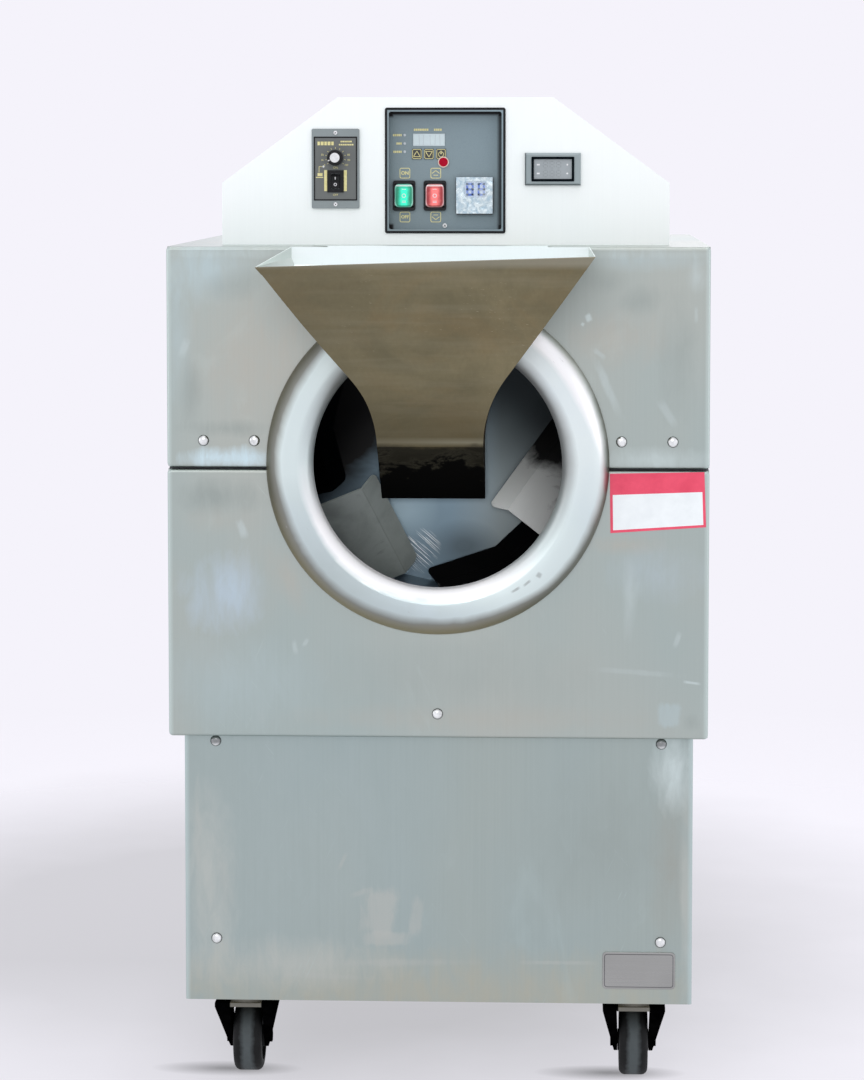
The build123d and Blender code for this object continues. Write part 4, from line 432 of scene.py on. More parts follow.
cabinet_steel = brushed_sheet(
    "cabinet_brushed", CABINET_COOL, CABINET_WARM, 0.42, 0.2, marks=CABINET_PAINTED_LIGHT_AND_RESIDUE, half=CABINET_HALF
)
top_steel = brushed_sheet("casing_top_brushed", STEEL_COOL, STEEL_WARM, 0.3, 0.2, GRAIN_LEVEL)
# The console is the same steel as the casing, painted near white for the bright sky that its leaning face
# reflects
panel_steel_painted_bright = brushed_sheet("panel_satin_painted_bright", (0.94, 1.0, 0.972), (0.955, 1.0, 0.962), 0.5, 0.0, metal=0.35)
print("brushed finishes:", casing_steel.name, top_steel.name, panel_steel_painted_bright.name)

# %% [markdown]
# ## Hopper, ring and drum
# The hopper's outside is painted khaki brown for the brown ground that its downward face reflects, and its
# inside is painted near white for the sky that it faces. Its lower fold, where it hangs in the hot mouth, is
# black: sooty, and in painted shade. The ring is spun and polished, with a painted brown reflection towards
# its outer edge, painted highlights and painted shade. The drum's back is a blue-grey mirror, scratched by
# the beans, with painted shade and shadow, and the vanes are dull and stained, painted lighter at the right
# and black with painted shadow further in. The hopper's brown, shade and highlight follow the height above
# the crease, the ring's brown reflection follows the radius, and the drum's patches are measured from their
# own middles, because a plain cloud would put them in the wrong places.

# %% Hopper sheet, painted brown outside
CREASE_Z = DRUM_AXIS_Z + 24 * MM
LIP_Z = CASING_TOP - 13.5 * MM
HOPPER_X = middle("hopper").x


def painted_brown_sheet():
    """Khaki brown painted for the ground that it reflects, paler along the lip, darker towards the crease,
    with painted shade at the left, a painted highlight above the crease, and ragged sooty black in painted
    shade below.
    """
    f = Finish("hopper_painted_brown_outside")
    clouds = f.cloud(7.5, 6.0, 0.62, 0.9, f.place((1, 1, 1.4), (0, 35, 0)))
    warmth = f.cloud(11.0, 5.0, 0.6, 0.8, f.place((1, 1, 1.2), (0, -25, 0), (3, 0, 1)))
    grain = f.cloud(1.0, 5.0, 0.6, at=f.place((260, 260, 8)))
    level = f.cloud(1.0, 5.0, 0.6, 0.3, f.place((5, 5, 75)))
    height = f.along("Z", CREASE_Z)
    to_right = f.along("X", HOPPER_X)
    # The khaki brown is painted for the brown ground that the hopper's downward face reflects
    colour = f.ramp(clouds, (0.155, 0.140, 0.083), (0.246, 0.213, 0.124), (0.32, 0.70))
    colour = f.tint(colour, (0.235, 0.176, 0.090), warmth, 0.0, 0.42, 0.48, 0.68)
    colour = f.tint(colour, (0.12, 0.105, 0.065), grain, 0.0, 0.18, 0.35, 0.7)
    colour = f.tint(colour, (0.30, 0.275, 0.19), level, 0.0, 0.30, 0.45, 0.75)
    colour = f.blend(scratches(f, (0, 76, 0), 10, 900, 0.69), colour, (0.42, 0.37, 0.26))
    colour = f.tint(colour, (0.085, 0.072, 0.040), height, 0.78, 0.0, 0.008, 0.095)
    colour = f.tint(colour, (0.33, 0.32, 0.25), f.along("Z", LIP_Z), 0.0, 0.6, -0.010, -0.002)
    # Painted shade towards the left
    colour = f.tint(colour, (0.10, 0.092, 0.060), to_right, 0.3, 0.0, -0.15, -0.03)
    # A painted highlight just above the crease, stronger to the right
    glow = f.times(f.span(height, 0.0, 1.0, 0.001, 0.006), f.span(height, 1.0, 0.0, 0.006, 0.013))
    glow = f.times(glow, f.span(to_right, 0.3, 0.6, -0.05, 0.03))
    colour = f.blend(glow, colour, (0.26, 0.25, 0.18))
    # Painted shade darkens the sheet just below the crease
    crease_shade = f.plus(height, f.span(f.cloud(16.0, 5.0, 0.6), -0.006, 0.006, 0.3, 0.7))
    colour = f.tint(colour, (0.050, 0.047, 0.033), crease_shade, 1.0, 0.0, -0.003, 0.004)
    # Further below, the sheet turns black with a ragged edge: sooty, and in painted shade
    rags = f.cloud(22.0, 6.0, 0.66, 0.4, f.place(shift=(2, 0, 0)))
    ragged = f.plus(height, f.span(rags, -0.022, 0.022, 0.36, 0.64))
    soot_and_shade = f.span(ragged, 1.0, 0.0, -0.031, -0.013)
    colour = f.blend(soot_and_shade, colour, (0.002, 0.002, 0.0018))
    rough = f.plus(f.span(clouds, 0.36, 0.5, 0.3, 0.7), f.times(soot_and_shade, 0.3))
    bump = (f.plus(grain, clouds), 0.10, 0.0006)
    return f.done(colour, rough, bump, metal=f.span(soot_and_shade, 0.9, 0.0), shine=0.02)


def shaded_side_walls(f, colour):
    """Greyer where the hopper's sheet looks to a side: painted shade."""
    return f.tint(colour, (0.60, 0.635, 0.585), f.facing("X"), 0.0, 0.85, 0.25, 0.5)


hopper_painted_brown = painted_brown_sheet()
# The inside is the same steel, painted near white for the sky that it faces
hopper_inside_painted_bright = brushed_sheet(
    "hopper_inside_painted_sky", (0.905, 0.995, 0.97), (0.95, 1.0, 0.98), 0.34, 0.2, last=shaded_side_walls
)
print("hopper finishes ready, crease at", round(CREASE_Z, 4))

# %% Polished ring
RING_WIDTH = 59 * MM
SCUFF = (0.16, 0.16, 0.15)
RING_SCUFFS = [
    ((0.098, 0.652), (0.007, 0.002), 32, 0.5, 0.6, SCUFF),
    ((0.113, 0.661), (0.006, 0.002), 40, 0.5, 0.6, SCUFF),
    ((0.128, 0.671), (0.004, 0.004), 60, 0.45, 0.6, SCUFF),
]


def polished_ring():
    """Spun polished steel with a painted brown reflection at its outer edge low and left, painted highlights
    high and right and along its lower inner edge, and painted shade low and on its upper inner edge.
    """
    f = Finish("ring_polished")
    x = f.along("X")
    z = f.along("Z", DRUM_AXIS_Z)
    radius = f.distance((0, 0, DRUM_AXIS_Z), (1, 0, 1))

    def towards(way_x, way_z):
        """One in a direction around the mouth, minus one opposite to it."""
        return f.calc("DIVIDE", f.plus(f.times(x, way_x), f.times(z, way_z)), radius)

    low_left = towards(-0.77, -0.64)
    low = towards(-0.35, -0.94)
    spin = f.cloud(1.0, 5.0, 0.6, 0.4, f.place((30, 30, 30)))
    broad = f.cloud(7.0, 4.0, 0.55, 0.5)
    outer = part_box("mouth_ring")[1].x
    across = f.span(radius, 0.0, 1.0, outer - RING_WIDTH, outer)
    across = f.plus(across, f.span(broad, -0.06, 0.06, 0.3, 0.7))
    # Painted shade towards the bottom
    dull = f.span(towards(-0.50, -0.87), 0.0, 1.0, 0.55, 0.95)
    colour = f.blend(dull, (0.670, 0.768, 0.748), (0.475, 0.552, 0.545))
    # A painted highlight high and right
    colour = f.tint(colour, (0.86, 0.93, 0.91), low_left, 0.7, 0.0, -1.0, -0.5)
    colour = f.tint(colour, (0.60, 0.70, 0.75), broad, 0.0, 0.35, 0.45, 0.7)
    # A painted highlight along the lower inner edge
    lit = f.times(f.span(across, 1.0, 0.0, 0.18, 0.30), f.span(low, 0.0, 1.0, 0.3, 0.75))
    colour = f.blend(lit, colour, (0.98, 0.995, 0.98))
    # Painted shade along the upper inner edge
    dark = f.times(f.span(across, 1.0, 0.0, 0.10, 0.34), f.span(low, 0.75, 0.0, -0.3, 0.3))
    colour = f.blend(dark, colour, (0.20, 0.205, 0.195))
    # A painted highlight on the outer half, high and right
    outwards = f.calc("SUBTRACT", across, f.span(low_left, 0.0, 0.25, -0.97, -0.75))
    shine = f.times(f.span(outwards, 0.0, 1.0, 0.55, 0.67), f.span(low_left, 1.0, 0.0, -0.75, -0.3))
    colour = f.blend(shine, colour, (0.97, 0.985, 0.965))
    # A painted brown reflection at the outer edge, widest low and left
    brown_reflection = f.plus(across, f.span(low_left, 0.05, 0.24, -0.6, 0.3))
    brown_reflection = f.calc("SUBTRACT", brown_reflection, f.span(low_left, 0.12, 0.0, -0.98, -0.8))
    colour = f.tint(colour, (0.21, 0.215, 0.19), brown_reflection, 0.0, 0.95, 0.84, 1.02)
    brown = f.tint((0.126, 0.122, 0.084), (0.300, 0.262, 0.152), low, 0.0, 1.0, 0.5, 0.95)
    colour = f.tint(colour, brown, brown_reflection, 0.0, 0.9, 1.0, 1.2)
    for mark in RING_SCUFFS:
        colour = frayed_mark(f, colour, mark, spin)
    colour = f.blend(scratches(f, (0, 45, 0), 30, 500, 0.71), colour, (0.35, 0.35, 0.34))
    metal = f.calc("MAXIMUM", f.span(lit, 0.45, 0.0), shine)
    rough = f.span(spin, 0.32, 0.46, 0.3, 0.75)
    return f.done(colour, rough, (spin, 0.05, 0.0004), metal=metal, shine_tint=(0.55, 0.52, 0.44))


def screw_steel():
    """Bright screw heads with a little grime, painted shade around their edge and a painted shadow under the
    tub.
    """
    f = Finish("screw_bright")
    grime = f.cloud(120.0, 4.0, 0.6)
    colour = f.ramp(grime, (0.62, 0.64, 0.62), (0.92, 0.95, 0.93), (0.3, 0.6))
    # Painted shade around the edge of each dome
    colour = f.tint(colour, (0.07, 0.075, 0.075), f.facing("Y"), 0.95, 0.0, 0.55, 0.92)
    # A painted shadow on screws just under the tub
    under_tub = f.size(f.along("Z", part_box("tub_front_panel")[0].z))
    colour = f.tint(colour, (0.10, 0.11, 0.11), under_tub, 0.75, 0.0, 0.010, 0.014)
    return f.done(colour, f.span(grime, 0.34, 0.18, 0.3, 0.7), metal=1.0)


ring_steel = polished_ring()
screw_finish = screw_steel()
print("polished finishes ready")

# %% Drum mirror and stained vanes, with painted shade and shadow
# Patches in the drum, in metres: the place from the middle of the mouth, then the half size
RUBBED = ((-0.042, 0.46, -0.160), (0.026, 0.1, 0.030))
# Painted shade: a dark patch low on the back
BACK_SHADE = ((0.018, 0.46, -0.158), (0.055, 0.1, 0.038))
BACK_GLEAM = ((-0.070, 0.46, -0.108), (0.055, 0.1, 0.048))
# Painted shadow: black at the left inside the drum
DRUM_SHADOWS = (
    ((-0.20, 0.25, 0.03), (0.13, 0.22, 0.15)),
    ((-0.165, 0.46, 0.02), (0.083, 0.20, 0.115)),
)
# Painted shadow on the upper end of the right vane
SHADED_VANE_END = ((0.155, 0.16, 0.02), (0.05, 0.3, 0.05))


def from_patch(f, at, half):
    """Zero in the middle of a patch in the drum, one at its edge; places count from the mouth's middle."""
    centre = (at[0], FRONT + at[1], DRUM_AXIS_Z + at[2])
    return f.distance(centre, [1 / h for h in half])


def drum_mirror():
    """Blue-grey polished drum: rubbed low on its back, with painted shade to the right and upwards, a painted
    dark patch and a painted gleam low on its back, and painted shadow at the left and near the mouth.
    """
    f = Finish("drum_mirror")
    broad = f.cloud(4.0, 3.0, 0.5, 0.8)
    mottle = f.cloud(11.0, 4.0, 0.55, 0.6)
    colour = f.ramp(broad, (0.074, 0.113, 0.146), (0.112, 0.163, 0.202), (0.32, 0.68))
    # Painted shade to the right, darker upwards
    upwards = f.span(f.along("Z", DRUM_AXIS_Z), 0.0, 1.0, -0.10, 0.07)
    shade = f.ramp(upwards, (0.118, 0.138, 0.142), (0.043, 0.054, 0.056))
    colour = f.tint(colour, shade, f.along("X"), 0.0, 0.9, 0.0, 0.07)
    lines = f.cloud(1.0, 3.0, 0.6, at=f.stretched(f.place(turn=(0, 48, 0)), (800, 800, 16)))
    rubbed = f.plus(from_patch(f, *RUBBED), f.span(mottle, -0.4, 0.4, 0.3, 0.7))
    strokes = f.times(f.span(lines, 0.0, 1.0, 0.54, 0.60), f.span(rubbed, 1.0, 0.0, 0.5, 1.0))
    colour = f.blend(strokes, colour, (0.85, 0.88, 0.9))
    colour = f.tint(colour, (0.022, 0.036, 0.046), from_patch(f, *BACK_SHADE), 0.75, 0.0, 0.2, 1.0)
    colour = f.tint(colour, (0.20, 0.27, 0.31), from_patch(f, *BACK_GLEAM), 0.65, 0.0, 0.2, 1.0)
    for patch in DRUM_SHADOWS:
        away = f.plus(from_patch(f, *patch), f.span(mottle, -0.16, 0.16, 0.3, 0.7))
        colour = f.tint(colour, (0.003, 0.003, 0.0035), away, 1.0, 0.0, 0.70, 1.08)
    # Painted shade near the mouth, fading further in
    colour = f.tint(colour, (0.006, 0.006, 0.007), f.along("Y", FRONT), 0.985, 0.0, 0.09, 0.32)
    rough = f.plus(f.span(broad, 0.34, 0.46, 0.3, 0.7), f.times(strokes, 0.3))
    return f.done(colour, rough, metal=0.6)


def stained_shaded_vane():
    """Dull metal, painted paler at the right for the light it catches, sooty in patches, with painted shadow
    on the upper end of the right vane and painted black shadow further in.
    """
    f = Finish("vane_stained_and_shaded")
    patches = f.cloud(16.0, 6.0, 0.62, 0.5)
    # Painted black shadow on the vanes further in
    deeper = f.span(f.along("Y", FRONT), 0.0, 1.0, 0.236, 0.246)
    shaded_end = f.plus(from_patch(f, *SHADED_VANE_END), f.span(patches, -0.25, 0.25, 0.3, 0.7))
    soot_and_shade = f.plus(f.span(patches, 0.0, 0.8, 0.60, 0.74), deeper)
    soot_and_shade = f.plus(soot_and_shade, f.span(shaded_end, 0.97, 0.0, 0.7, 1.1))
    colour = f.ramp(patches, (0.262, 0.297, 0.282), (0.375, 0.420, 0.400), (0.3, 0.55))
    # Painted light: paler at the right
    colour = f.tint(colour, (0.93, 0.95, 0.92), f.along("X"), 0.0, 0.7, 0.03, 0.07)
    colour = f.blend(soot_and_shade, colour, (0.004, 0.004, 0.0045))
    rough = f.span(patches, 0.42, 0.62, 0.3, 0.7)
    return f.done(colour, rough, (patches, 0.15, 0.0008), metal=0.15, shine=0.15)


drum_steel = drum_mirror()
vane_steel = stained_shaded_vane()
print("drum finishes ready")

# %% [markdown]
# ## Paint, plastic, rubber and the rest
# Moulded plastic has a fine even grain, enamel has orange peel and chips, rubber is scuffed and dusty.
# One helper covers them, so that each needs a single line: two near colours mixed by noise, a roughness
# range, how fine the grain is and how deep.

# %% A helper for grained finishes
MOULDED = 0.0001
PRINTED = 0.00005


def grained(name, dark, light, rough, grain, depth, metal=0.0, coat=0.0, broad=9.0, shine=0.5, last=None):
    """Two near colours in soft clouds, a roughness range, a fine even grain, and a last touch of colour."""
    f = Finish(name)
    clouds = f.cloud(broad, 5.0, 0.6, 0.3)
    fine = f.cloud(grain, 3.0, 0.6)
    colour = f.ramp(clouds, dark, light, (0.32, 0.68))
    colour = f.tint(colour, dark, fine, 0.0, 0.25, 0.5, 0.75)
    if last:
        colour = last(f, colour)
    rough = f.span(clouds, *rough, 0.3, 0.7)
    return f.done(colour, rough, (fine, 0.2, depth), metal=metal, coat=coat, shine=shine)


rim_plastic = grained(
    "tray_rim", (0.006, 0.0065, 0.007), (0.014, 0.015, 0.016), (0.35, 0.5), 900, MOULDED, shine=0.2
)
rocker_frame_plastic = grained(
    "rocker_frame", (0.008, 0.009, 0.010), (0.018, 0.019, 0.021), (0.35, 0.48), 900, MOULDED, shine=0.25
)
key_plastic = grained(
    "key_moulding", (0.040, 0.043, 0.040), (0.062, 0.064, 0.058), (0.4, 0.5), 1200, MOULDED
)
plate_plastic = grained(
    "speed_plate_grey", (0.222, 0.262, 0.262), (0.268, 0.312, 0.312), (0.4, 0.52), 1000, MOULDED
)
controller_plastic = grained(
    "controller_black", (0.018, 0.019, 0.022), (0.04, 0.042, 0.046), (0.4, 0.55), 900, MOULDED
)
knob_plastic = grained(
    "knob_black", (0.004, 0.004, 0.0045), (0.012, 0.012, 0.013), (0.3, 0.42), 1200, MOULDED, shine=0.25
)
nylon = grained("gland_nylon", (0.012, 0.012, 0.013), (0.03, 0.03, 0.03), (0.45, 0.6), 700, 0.0002)
belt_rubber = grained("belt_rubber", (0.015, 0.015, 0.015), (0.035, 0.034, 0.033), (0.6, 0.8), 600, 0.0004)
zinc = grained(
    "yellow_zinc", (0.50, 0.45, 0.30), (0.66, 0.62, 0.47), (0.32, 0.5), 300, 0.0003, metal=0.8, broad=40
)
mill_steel = grained(
    "mill_steel", (0.26, 0.265, 0.27), (0.42, 0.425, 0.43), (0.4, 0.6), 260, 0.0004, metal=0.9
)
turned_steel = grained(
    "turned_steel", (0.46, 0.465, 0.47), (0.62, 0.62, 0.625), (0.22, 0.36), 500, 0.0003, metal=1.0
)
cast_grey = grained("cast_grey", (0.16, 0.17, 0.175), (0.24, 0.25, 0.255), (0.5, 0.7), 220, 0.001)
motor_enamel = grained(
    "motor_enamel", (0.045, 0.085, 0.14), (0.07, 0.12, 0.18), (0.3, 0.45), 240, 0.0005, coat=0.3
)
wool = grained("wool_blanket", (0.55, 0.54, 0.48), (0.78, 0.77, 0.70), (0.85, 0.95), 320, 0.003)
chamber_steel = grained(
    "chamber_dark", (0.05, 0.05, 0.055), (0.14, 0.14, 0.15), (0.45, 0.65), 160, 0.0006, metal=0.8
)
print("plain grained finishes ready")

# %% Casters, tray and bezel
TRAY_BLACK = (0.006, 0.007, 0.008)


def fork_black():
    """Near black that does not shine, and grey at the crown between the legs."""
    f = Finish("fork_black")
    chips = f.cloud(90.0, 5.0, 0.65)
    colour = f.ramp(chips, (0.0006, 0.0006, 0.0007), (0.0025, 0.0025, 0.0028), (0.4, 0.75))
    beside = f.calc("SUBTRACT", f.size(f.along("X")), abs(middle("caster_fork_front_left").x))
    between = f.span(f.size(beside), 1.0, 0.0, 0.0195, 0.0205)
    fork_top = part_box("caster_fork_front_left")[1].z
    crown = f.span(f.along("Z", fork_top), 0.0, 1.0, -0.0125, -0.0115)
    colour = f.blend(f.times(between, crown), colour, (0.23, 0.225, 0.195))
    return f.done(colour, f.span(chips, 0.55, 0.75, 0.3, 0.7), (chips, 0.1, 0.0004), shine=0.0)


def tread_rubber():
    """Dusty rubber with a painted highlight along the middle of the tread."""
    f = Finish("wheel_rubber")
    dust = f.cloud(60.0, 5.0, 0.62)
    # A painted highlight along the middle of the tread
    side = f.calc("SUBTRACT", f.size(f.along("X")), abs(middle("caster_wheel_front_left").x))
    side = f.plus(f.size(side), f.span(dust, -0.002, 0.002, 0.3, 0.7))
    tread_highlight = f.ramp(dust, (0.06, 0.072, 0.073), (0.10, 0.118, 0.12))
    colour = f.tint((0.008, 0.009, 0.009), tread_highlight, side, 1.0, 0.0, 0.004, 0.0105)
    return f.done(colour, f.span(dust, 0.5, 0.7, 0.3, 0.7), (dust, 0.1, 0.0005), shine=0.2)


def tray_finish():
    """Grey moulding, black along its outer edge, with painted shade under its upper wall, along its right
    wall and in its corners, and a painted sheen that makes it lighter to the right.
    """
    f = Finish("tray_moulding")
    low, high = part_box("control_tray")
    half_x = (high.x - low.x) / 2
    half_z = (high.z - low.z) / 2
    fine = f.cloud(900.0, 3.0, 0.6)
    x = f.along("X", low.x + half_x)
    z = f.along("Z", low.z + half_z)
    in_x = f.calc("SUBTRACT", half_x, f.size(x))
    in_z = f.calc("SUBTRACT", half_z, f.size(z))
    # A painted sheen, lighter to the right and up
    lighter = f.span(f.plus(x, f.times(z, 0.5)), 0.0, 1.0, -0.09, 0.08)
    colour = f.ramp(lighter, (0.230, 0.292, 0.306), (0.262, 0.345, 0.375))
    colour = f.tint(colour, (0.10, 0.125, 0.135), fine, 0.0, 0.15, 0.5, 0.75)
    wall = f.span(f.along("Y", low.y), 0.0, 1.0, 0.0025, 0.004)
    # Painted shade under the upper wall, along the right wall and in the inner corners
    upper = f.span(z, 0.0, 1.0, half_z - 0.0105, half_z - 0.0075)
    right = f.span(x, 0.0, 0.85, half_x - 0.0120, half_x - 0.0080)
    corners = f.times(f.span(in_x, 1.0, 0.0, 0.0085, 0.0115), f.span(in_z, 1.0, 0.0, 0.010, 0.013))
    shaded = f.calc("MAXIMUM", f.calc("MAXIMUM", upper, right), corners)
    colour = f.blend(f.times(wall, shaded), colour, TRAY_BLACK)
    inside = f.calc("MINIMUM", in_x, in_z)
    colour = f.tint(colour, TRAY_BLACK, inside, 1.0, 0.0, 0.0028, 0.0034)
    return f.done(colour, f.span(fine, 0.4, 0.5, 0.3, 0.7), (fine, 0.2, MOULDED), shine=0.25)


def bezel_shadow(f, colour):
    """Shade along the left and lower edges of the display's bezel."""
    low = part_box("temperature_display")[0]
    left = f.span(f.along("X", low.x), 0.85, 0.0, 0.0010, 0.0019)
    lower = f.span(f.along("Z", low.z), 0.85, 0.0, 0.0009, 0.0017)
    return f.blend(f.calc("MAXIMUM", left, lower), colour, (0.030, 0.042, 0.048))


tray_plastic = tray_finish()
bezel_plastic = grained(
    "display_bezel_grey", (0.285, 0.345, 0.350), (0.345, 0.410, 0.415), (0.38, 0.5), 1000, MOULDED,
    last=bezel_shadow,
)
fork_enamel = fork_black()
wheel_rubber = tread_rubber()
print("caster and tray finishes ready")

# %% Lens plastic of the two rockers
LENS_HALF = (11.8 * MM, 15.4 * MM)
# Painted shadow in the gap around a cap
GAP_SHADOW = (0.004, 0.004, 0.004)


def lens(name, solid, bright, deep, edge):
    """Coloured glossy cap with a faint painted glow: bright in its middle, deeper at its sides, pale along
    its edge, with a painted highlight near its top and painted shadow in the gap around it.
    """
    f = Finish(name)
    centre = middle(solid)
    outline = f.box_length(f.patch((centre.x, centre.z), LENS_HALF))
    cloudy = f.span(f.cloud(190.0, 3.0, 0.5), -0.12, 0.12, 0.35, 0.7)
    sideways = f.span(f.size(f.along("X", centre.x)), 0.0, 1.0, 0.0015, 0.0085)
    lift = f.along("Z", centre.z)
    colour = f.ramp(f.plus(sideways, cloudy), bright, deep, (0.2, 0.9))
    colour = f.tint(colour, deep, lift, 0.0, 0.6, 0.0085, 0.0105)
    colour = f.tint(colour, deep, lift, 0.6, 0.0, -0.0135, -0.0115)
    colour = f.tint(colour, edge, outline, 0.0, 0.6, 0.86, 0.92)
    # A painted highlight near the top
    glint = f.times(f.span(lift, 0.0, 0.7, 0.0118, 0.0124), f.span(lift, 1.0, 0.0, 0.0134, 0.0140))
    colour = f.blend(glint, colour, (0.85, 0.87, 0.86))
    colour = f.tint(colour, GAP_SHADOW, outline, 0.0, 1.0, 0.97, 1.0)
    # A faint painted glow, though the rockers are not lit
    return f.done(colour, 0.14, glow=colour, glow_strength=0.28, coat=0.6, coat_rough=0.05)


green_lens = lens("green_lens", "power_rocker", (0.02, 0.92, 0.58), (0.0, 0.24, 0.13), (0.36, 0.80, 0.66))
red_lens = lens("red_lens", "direction_rocker", (0.98, 0.19, 0.18), (0.30, 0.016, 0.020), (0.84, 0.52, 0.52))
window_lens = grained(
    "window_pale", (0.59, 0.70, 0.71), (0.70, 0.82, 0.83), (0.15, 0.25), 90, MOULDED, coat=0.4
)
print("lens finishes ready")

# %% [markdown]
# ## Give every solid its finish
# The solids keep their shape. Only the material in their slot changes, so each node's name picks its finish.

# %% Assign the finishes
FINISHES = {
    casing_steel: [
        "cabinet_left_panel", "cabinet_rear_panel", "cabinet_right_panel",
        "hood_left_panel", "hood_right_panel",
        "rear_lower_panel", "rear_upper_panel",
        "tub_left_panel", "tub_right_panel",
    ],
    hood_steel: ["hood_front_panel"],
    tub_steel: ["tub_front_panel"],
    cabinet_steel: ["cabinet_front_panel"],
    top_steel: ["hood_top", "tub_floor", "cabinet_floor"],
    panel_steel_painted_bright: ["control_housing", "control_panel"],
    hopper_painted_brown: ["hopper"],
    ring_steel: ["mouth_ring"],
    screw_finish: ["panel_screws"],
    drum_steel: ["drum_barrel"],
    vane_steel: ["drum_vanes"],
    chamber_steel: ["chamber_liner", "bulkheads", "heating_elements"],
    mill_steel: ["frame_posts", "bearing_bracket", "temperature_probe"],
    turned_steel: ["drum_shaft"],
    cast_grey: ["shaft_bearings", "drum_pulley", "motor_pulley", "gearbox"],
    motor_enamel: ["drive_motor"],
    belt_rubber: ["drive_belt"],
    wool: ["insulation"],
    zinc: ["caster_plates", "caster_bolts"],
    fork_enamel: [n for n in nodes if n.startswith("caster_fork")],
    wheel_rubber: [n for n in nodes if n.startswith("caster_wheel")],
    nylon: ["cable_gland"],
    tray_plastic: ["control_tray"],
    rocker_frame_plastic: ["rocker_frames"],
    key_plastic: ["key_up", "key_down", "key_power"],
    window_lens: ["display_window"],
    controller_plastic: ["temperature_controller"],
    bezel_plastic: ["temperature_display"],
    plate_plastic: ["speed_controller"],
    knob_plastic: ["speed_knob", "run_rocker"],
    green_lens: ["power_rocker"],
    red_lens: ["direction_rocker"],
}
dressed = set()
for finish, names in FINISHES.items():
    for name in names:
        nodes[name].data.materials.clear()
        nodes[name].data.materials.append(finish)
        dressed.add(name)
print("dressed", len(dressed), "of", len(nodes), "left", sorted(set(nodes) - dressed))

# %% [markdown]
# ## Modelling helpers
# New pieces start from a primitive that is set down at its place, is shaped in edit mode, and is then
# settled: its place goes into its mesh, so that its object sits at the origin like the solids.

# %% Helpers for modelling by hand
FORWARD = (pi / 2, 0, 0)


def start_fresh():
    """Leave edit mode and deselect everything."""
    if bpy.context.object and bpy.context.object.mode != "OBJECT":
        bpy.ops.object.mode_set(mode="OBJECT")
    bpy.ops.object.select_all(action="DESELECT")


def only(piece):
    """Select one piece and make it active."""
    start_fresh()
    piece.select_set(True)
    bpy.context.view_layer.objects.active = piece


def apply_place():
    """Put the active piece's place, turn and scale into its mesh."""
    bpy.ops.object.transform_apply(location=True, rotation=True, scale=True)
    return bpy.context.object


def edit_all():
    """Enter edit mode with everything selected."""
    bpy.ops.object.mode_set(mode="EDIT")
    bpy.ops.mesh.select_all(action="SELECT")


def settle(piece, name, finish):
    """Put the place into the mesh, name the piece and give it its finish."""
    only(piece)
    apply_place()
    piece.name = name
    piece.data.name = name
    piece.data.materials.clear()
    piece.data.materials.append(finish)
    return piece


def join(pieces, name, finish, body):
    """Join small pieces into one, finish it and let it ride on a body."""
    start_fresh()
    for piece in pieces:
        piece.select_set(True)
    bpy.context.view_layer.objects.active = pieces[0]
    if len(pieces) > 1:
        bpy.ops.object.join()
    piece = settle(bpy.context.object, name, finish)
    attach(piece, body)
    return piece


print("modelling helpers ready")

# %% [markdown]
# Print, lamps, frames and plates are all flat pieces that face the front. Each is a face that is hollowed or
# not and then gets its thickness, so they share those two steps.


# %% Flat pieces
def hollow(line):
    """Leave only a rim of the face that is being edited."""
    bpy.ops.mesh.inset(thickness=line, depth=0)
    bpy.ops.mesh.delete(type="FACE")


def thicken(thick):
    """Extrude the face that is being edited towards the front, and leave edit mode."""
    bpy.ops.mesh.select_all(action="SELECT")
    bpy.ops.mesh.extrude_region_move(TRANSFORM_OT_translate={"value": (0, -thick, 0)})
    bpy.ops.mesh.select_all(action="SELECT")
    bpy.ops.mesh.normals_make_consistent(inside=False)
    bpy.ops.object.mode_set(mode="OBJECT")
    return bpy.context.object


def start_face(x, y, z, width, height, radius, segments):
    """Begin to edit a face with round corners."""
    start_fresh()
    bpy.ops.mesh.primitive_plane_add(size=1, location=(x, y, z), rotation=FORWARD)
    bpy.context.object.scale = (width, height, 1)
    apply_place()
    edit_all()
    if radius:
        bpy.ops.mesh.bevel(offset=radius, segments=segments, affect="VERTICES")
        bpy.ops.mesh.select_all(action="SELECT")


def round_plate(x, y, z, width, height, radius, thick, segments=4):
    """A flat plate with round corners, its back on the plane y."""
    start_face(x, y, z, width, height, radius, segments)
    return thicken(thick)


def round_frame(x, y, z, width, height, radius, line, thick):
    """A thin outline with round corners."""
    start_face(x, y, z, width, height, radius, 3)
    hollow(line)
    return thicken(thick)


def hoop(x, y, z, radius, line, thick, sides=24):
    """A flat ring."""
    start_fresh()
    bpy.ops.mesh.primitive_circle_add(
        vertices=sides, radius=radius, fill_type="NGON", location=(x, y, z), rotation=FORWARD
    )
    apply_place()
    edit_all()
    hollow(line)
    return thicken(thick)


def disc(x, y, z, radius, thick, sides=24, edge=0.0):
    """A round button, its back on the plane y."""
    start_fresh()
    bpy.ops.mesh.primitive_cylinder_add(
        vertices=sides, radius=radius, depth=thick, location=(x, y - thick / 2, z), rotation=FORWARD
    )
    piece = apply_place()
    if edge:
        bpy.ops.object.mode_set(mode="EDIT")
        bpy.ops.mesh.select_all(action="DESELECT")
        bpy.ops.object.mode_set(mode="OBJECT")
        for polygon in piece.data.polygons:
            polygon.select = polygon.normal.y < -0.9
        bpy.ops.object.mode_set(mode="EDIT")
        bpy.ops.mesh.bevel(offset=edge, segments=3, affect="EDGES")
        bpy.ops.object.mode_set(mode="OBJECT")
    return piece


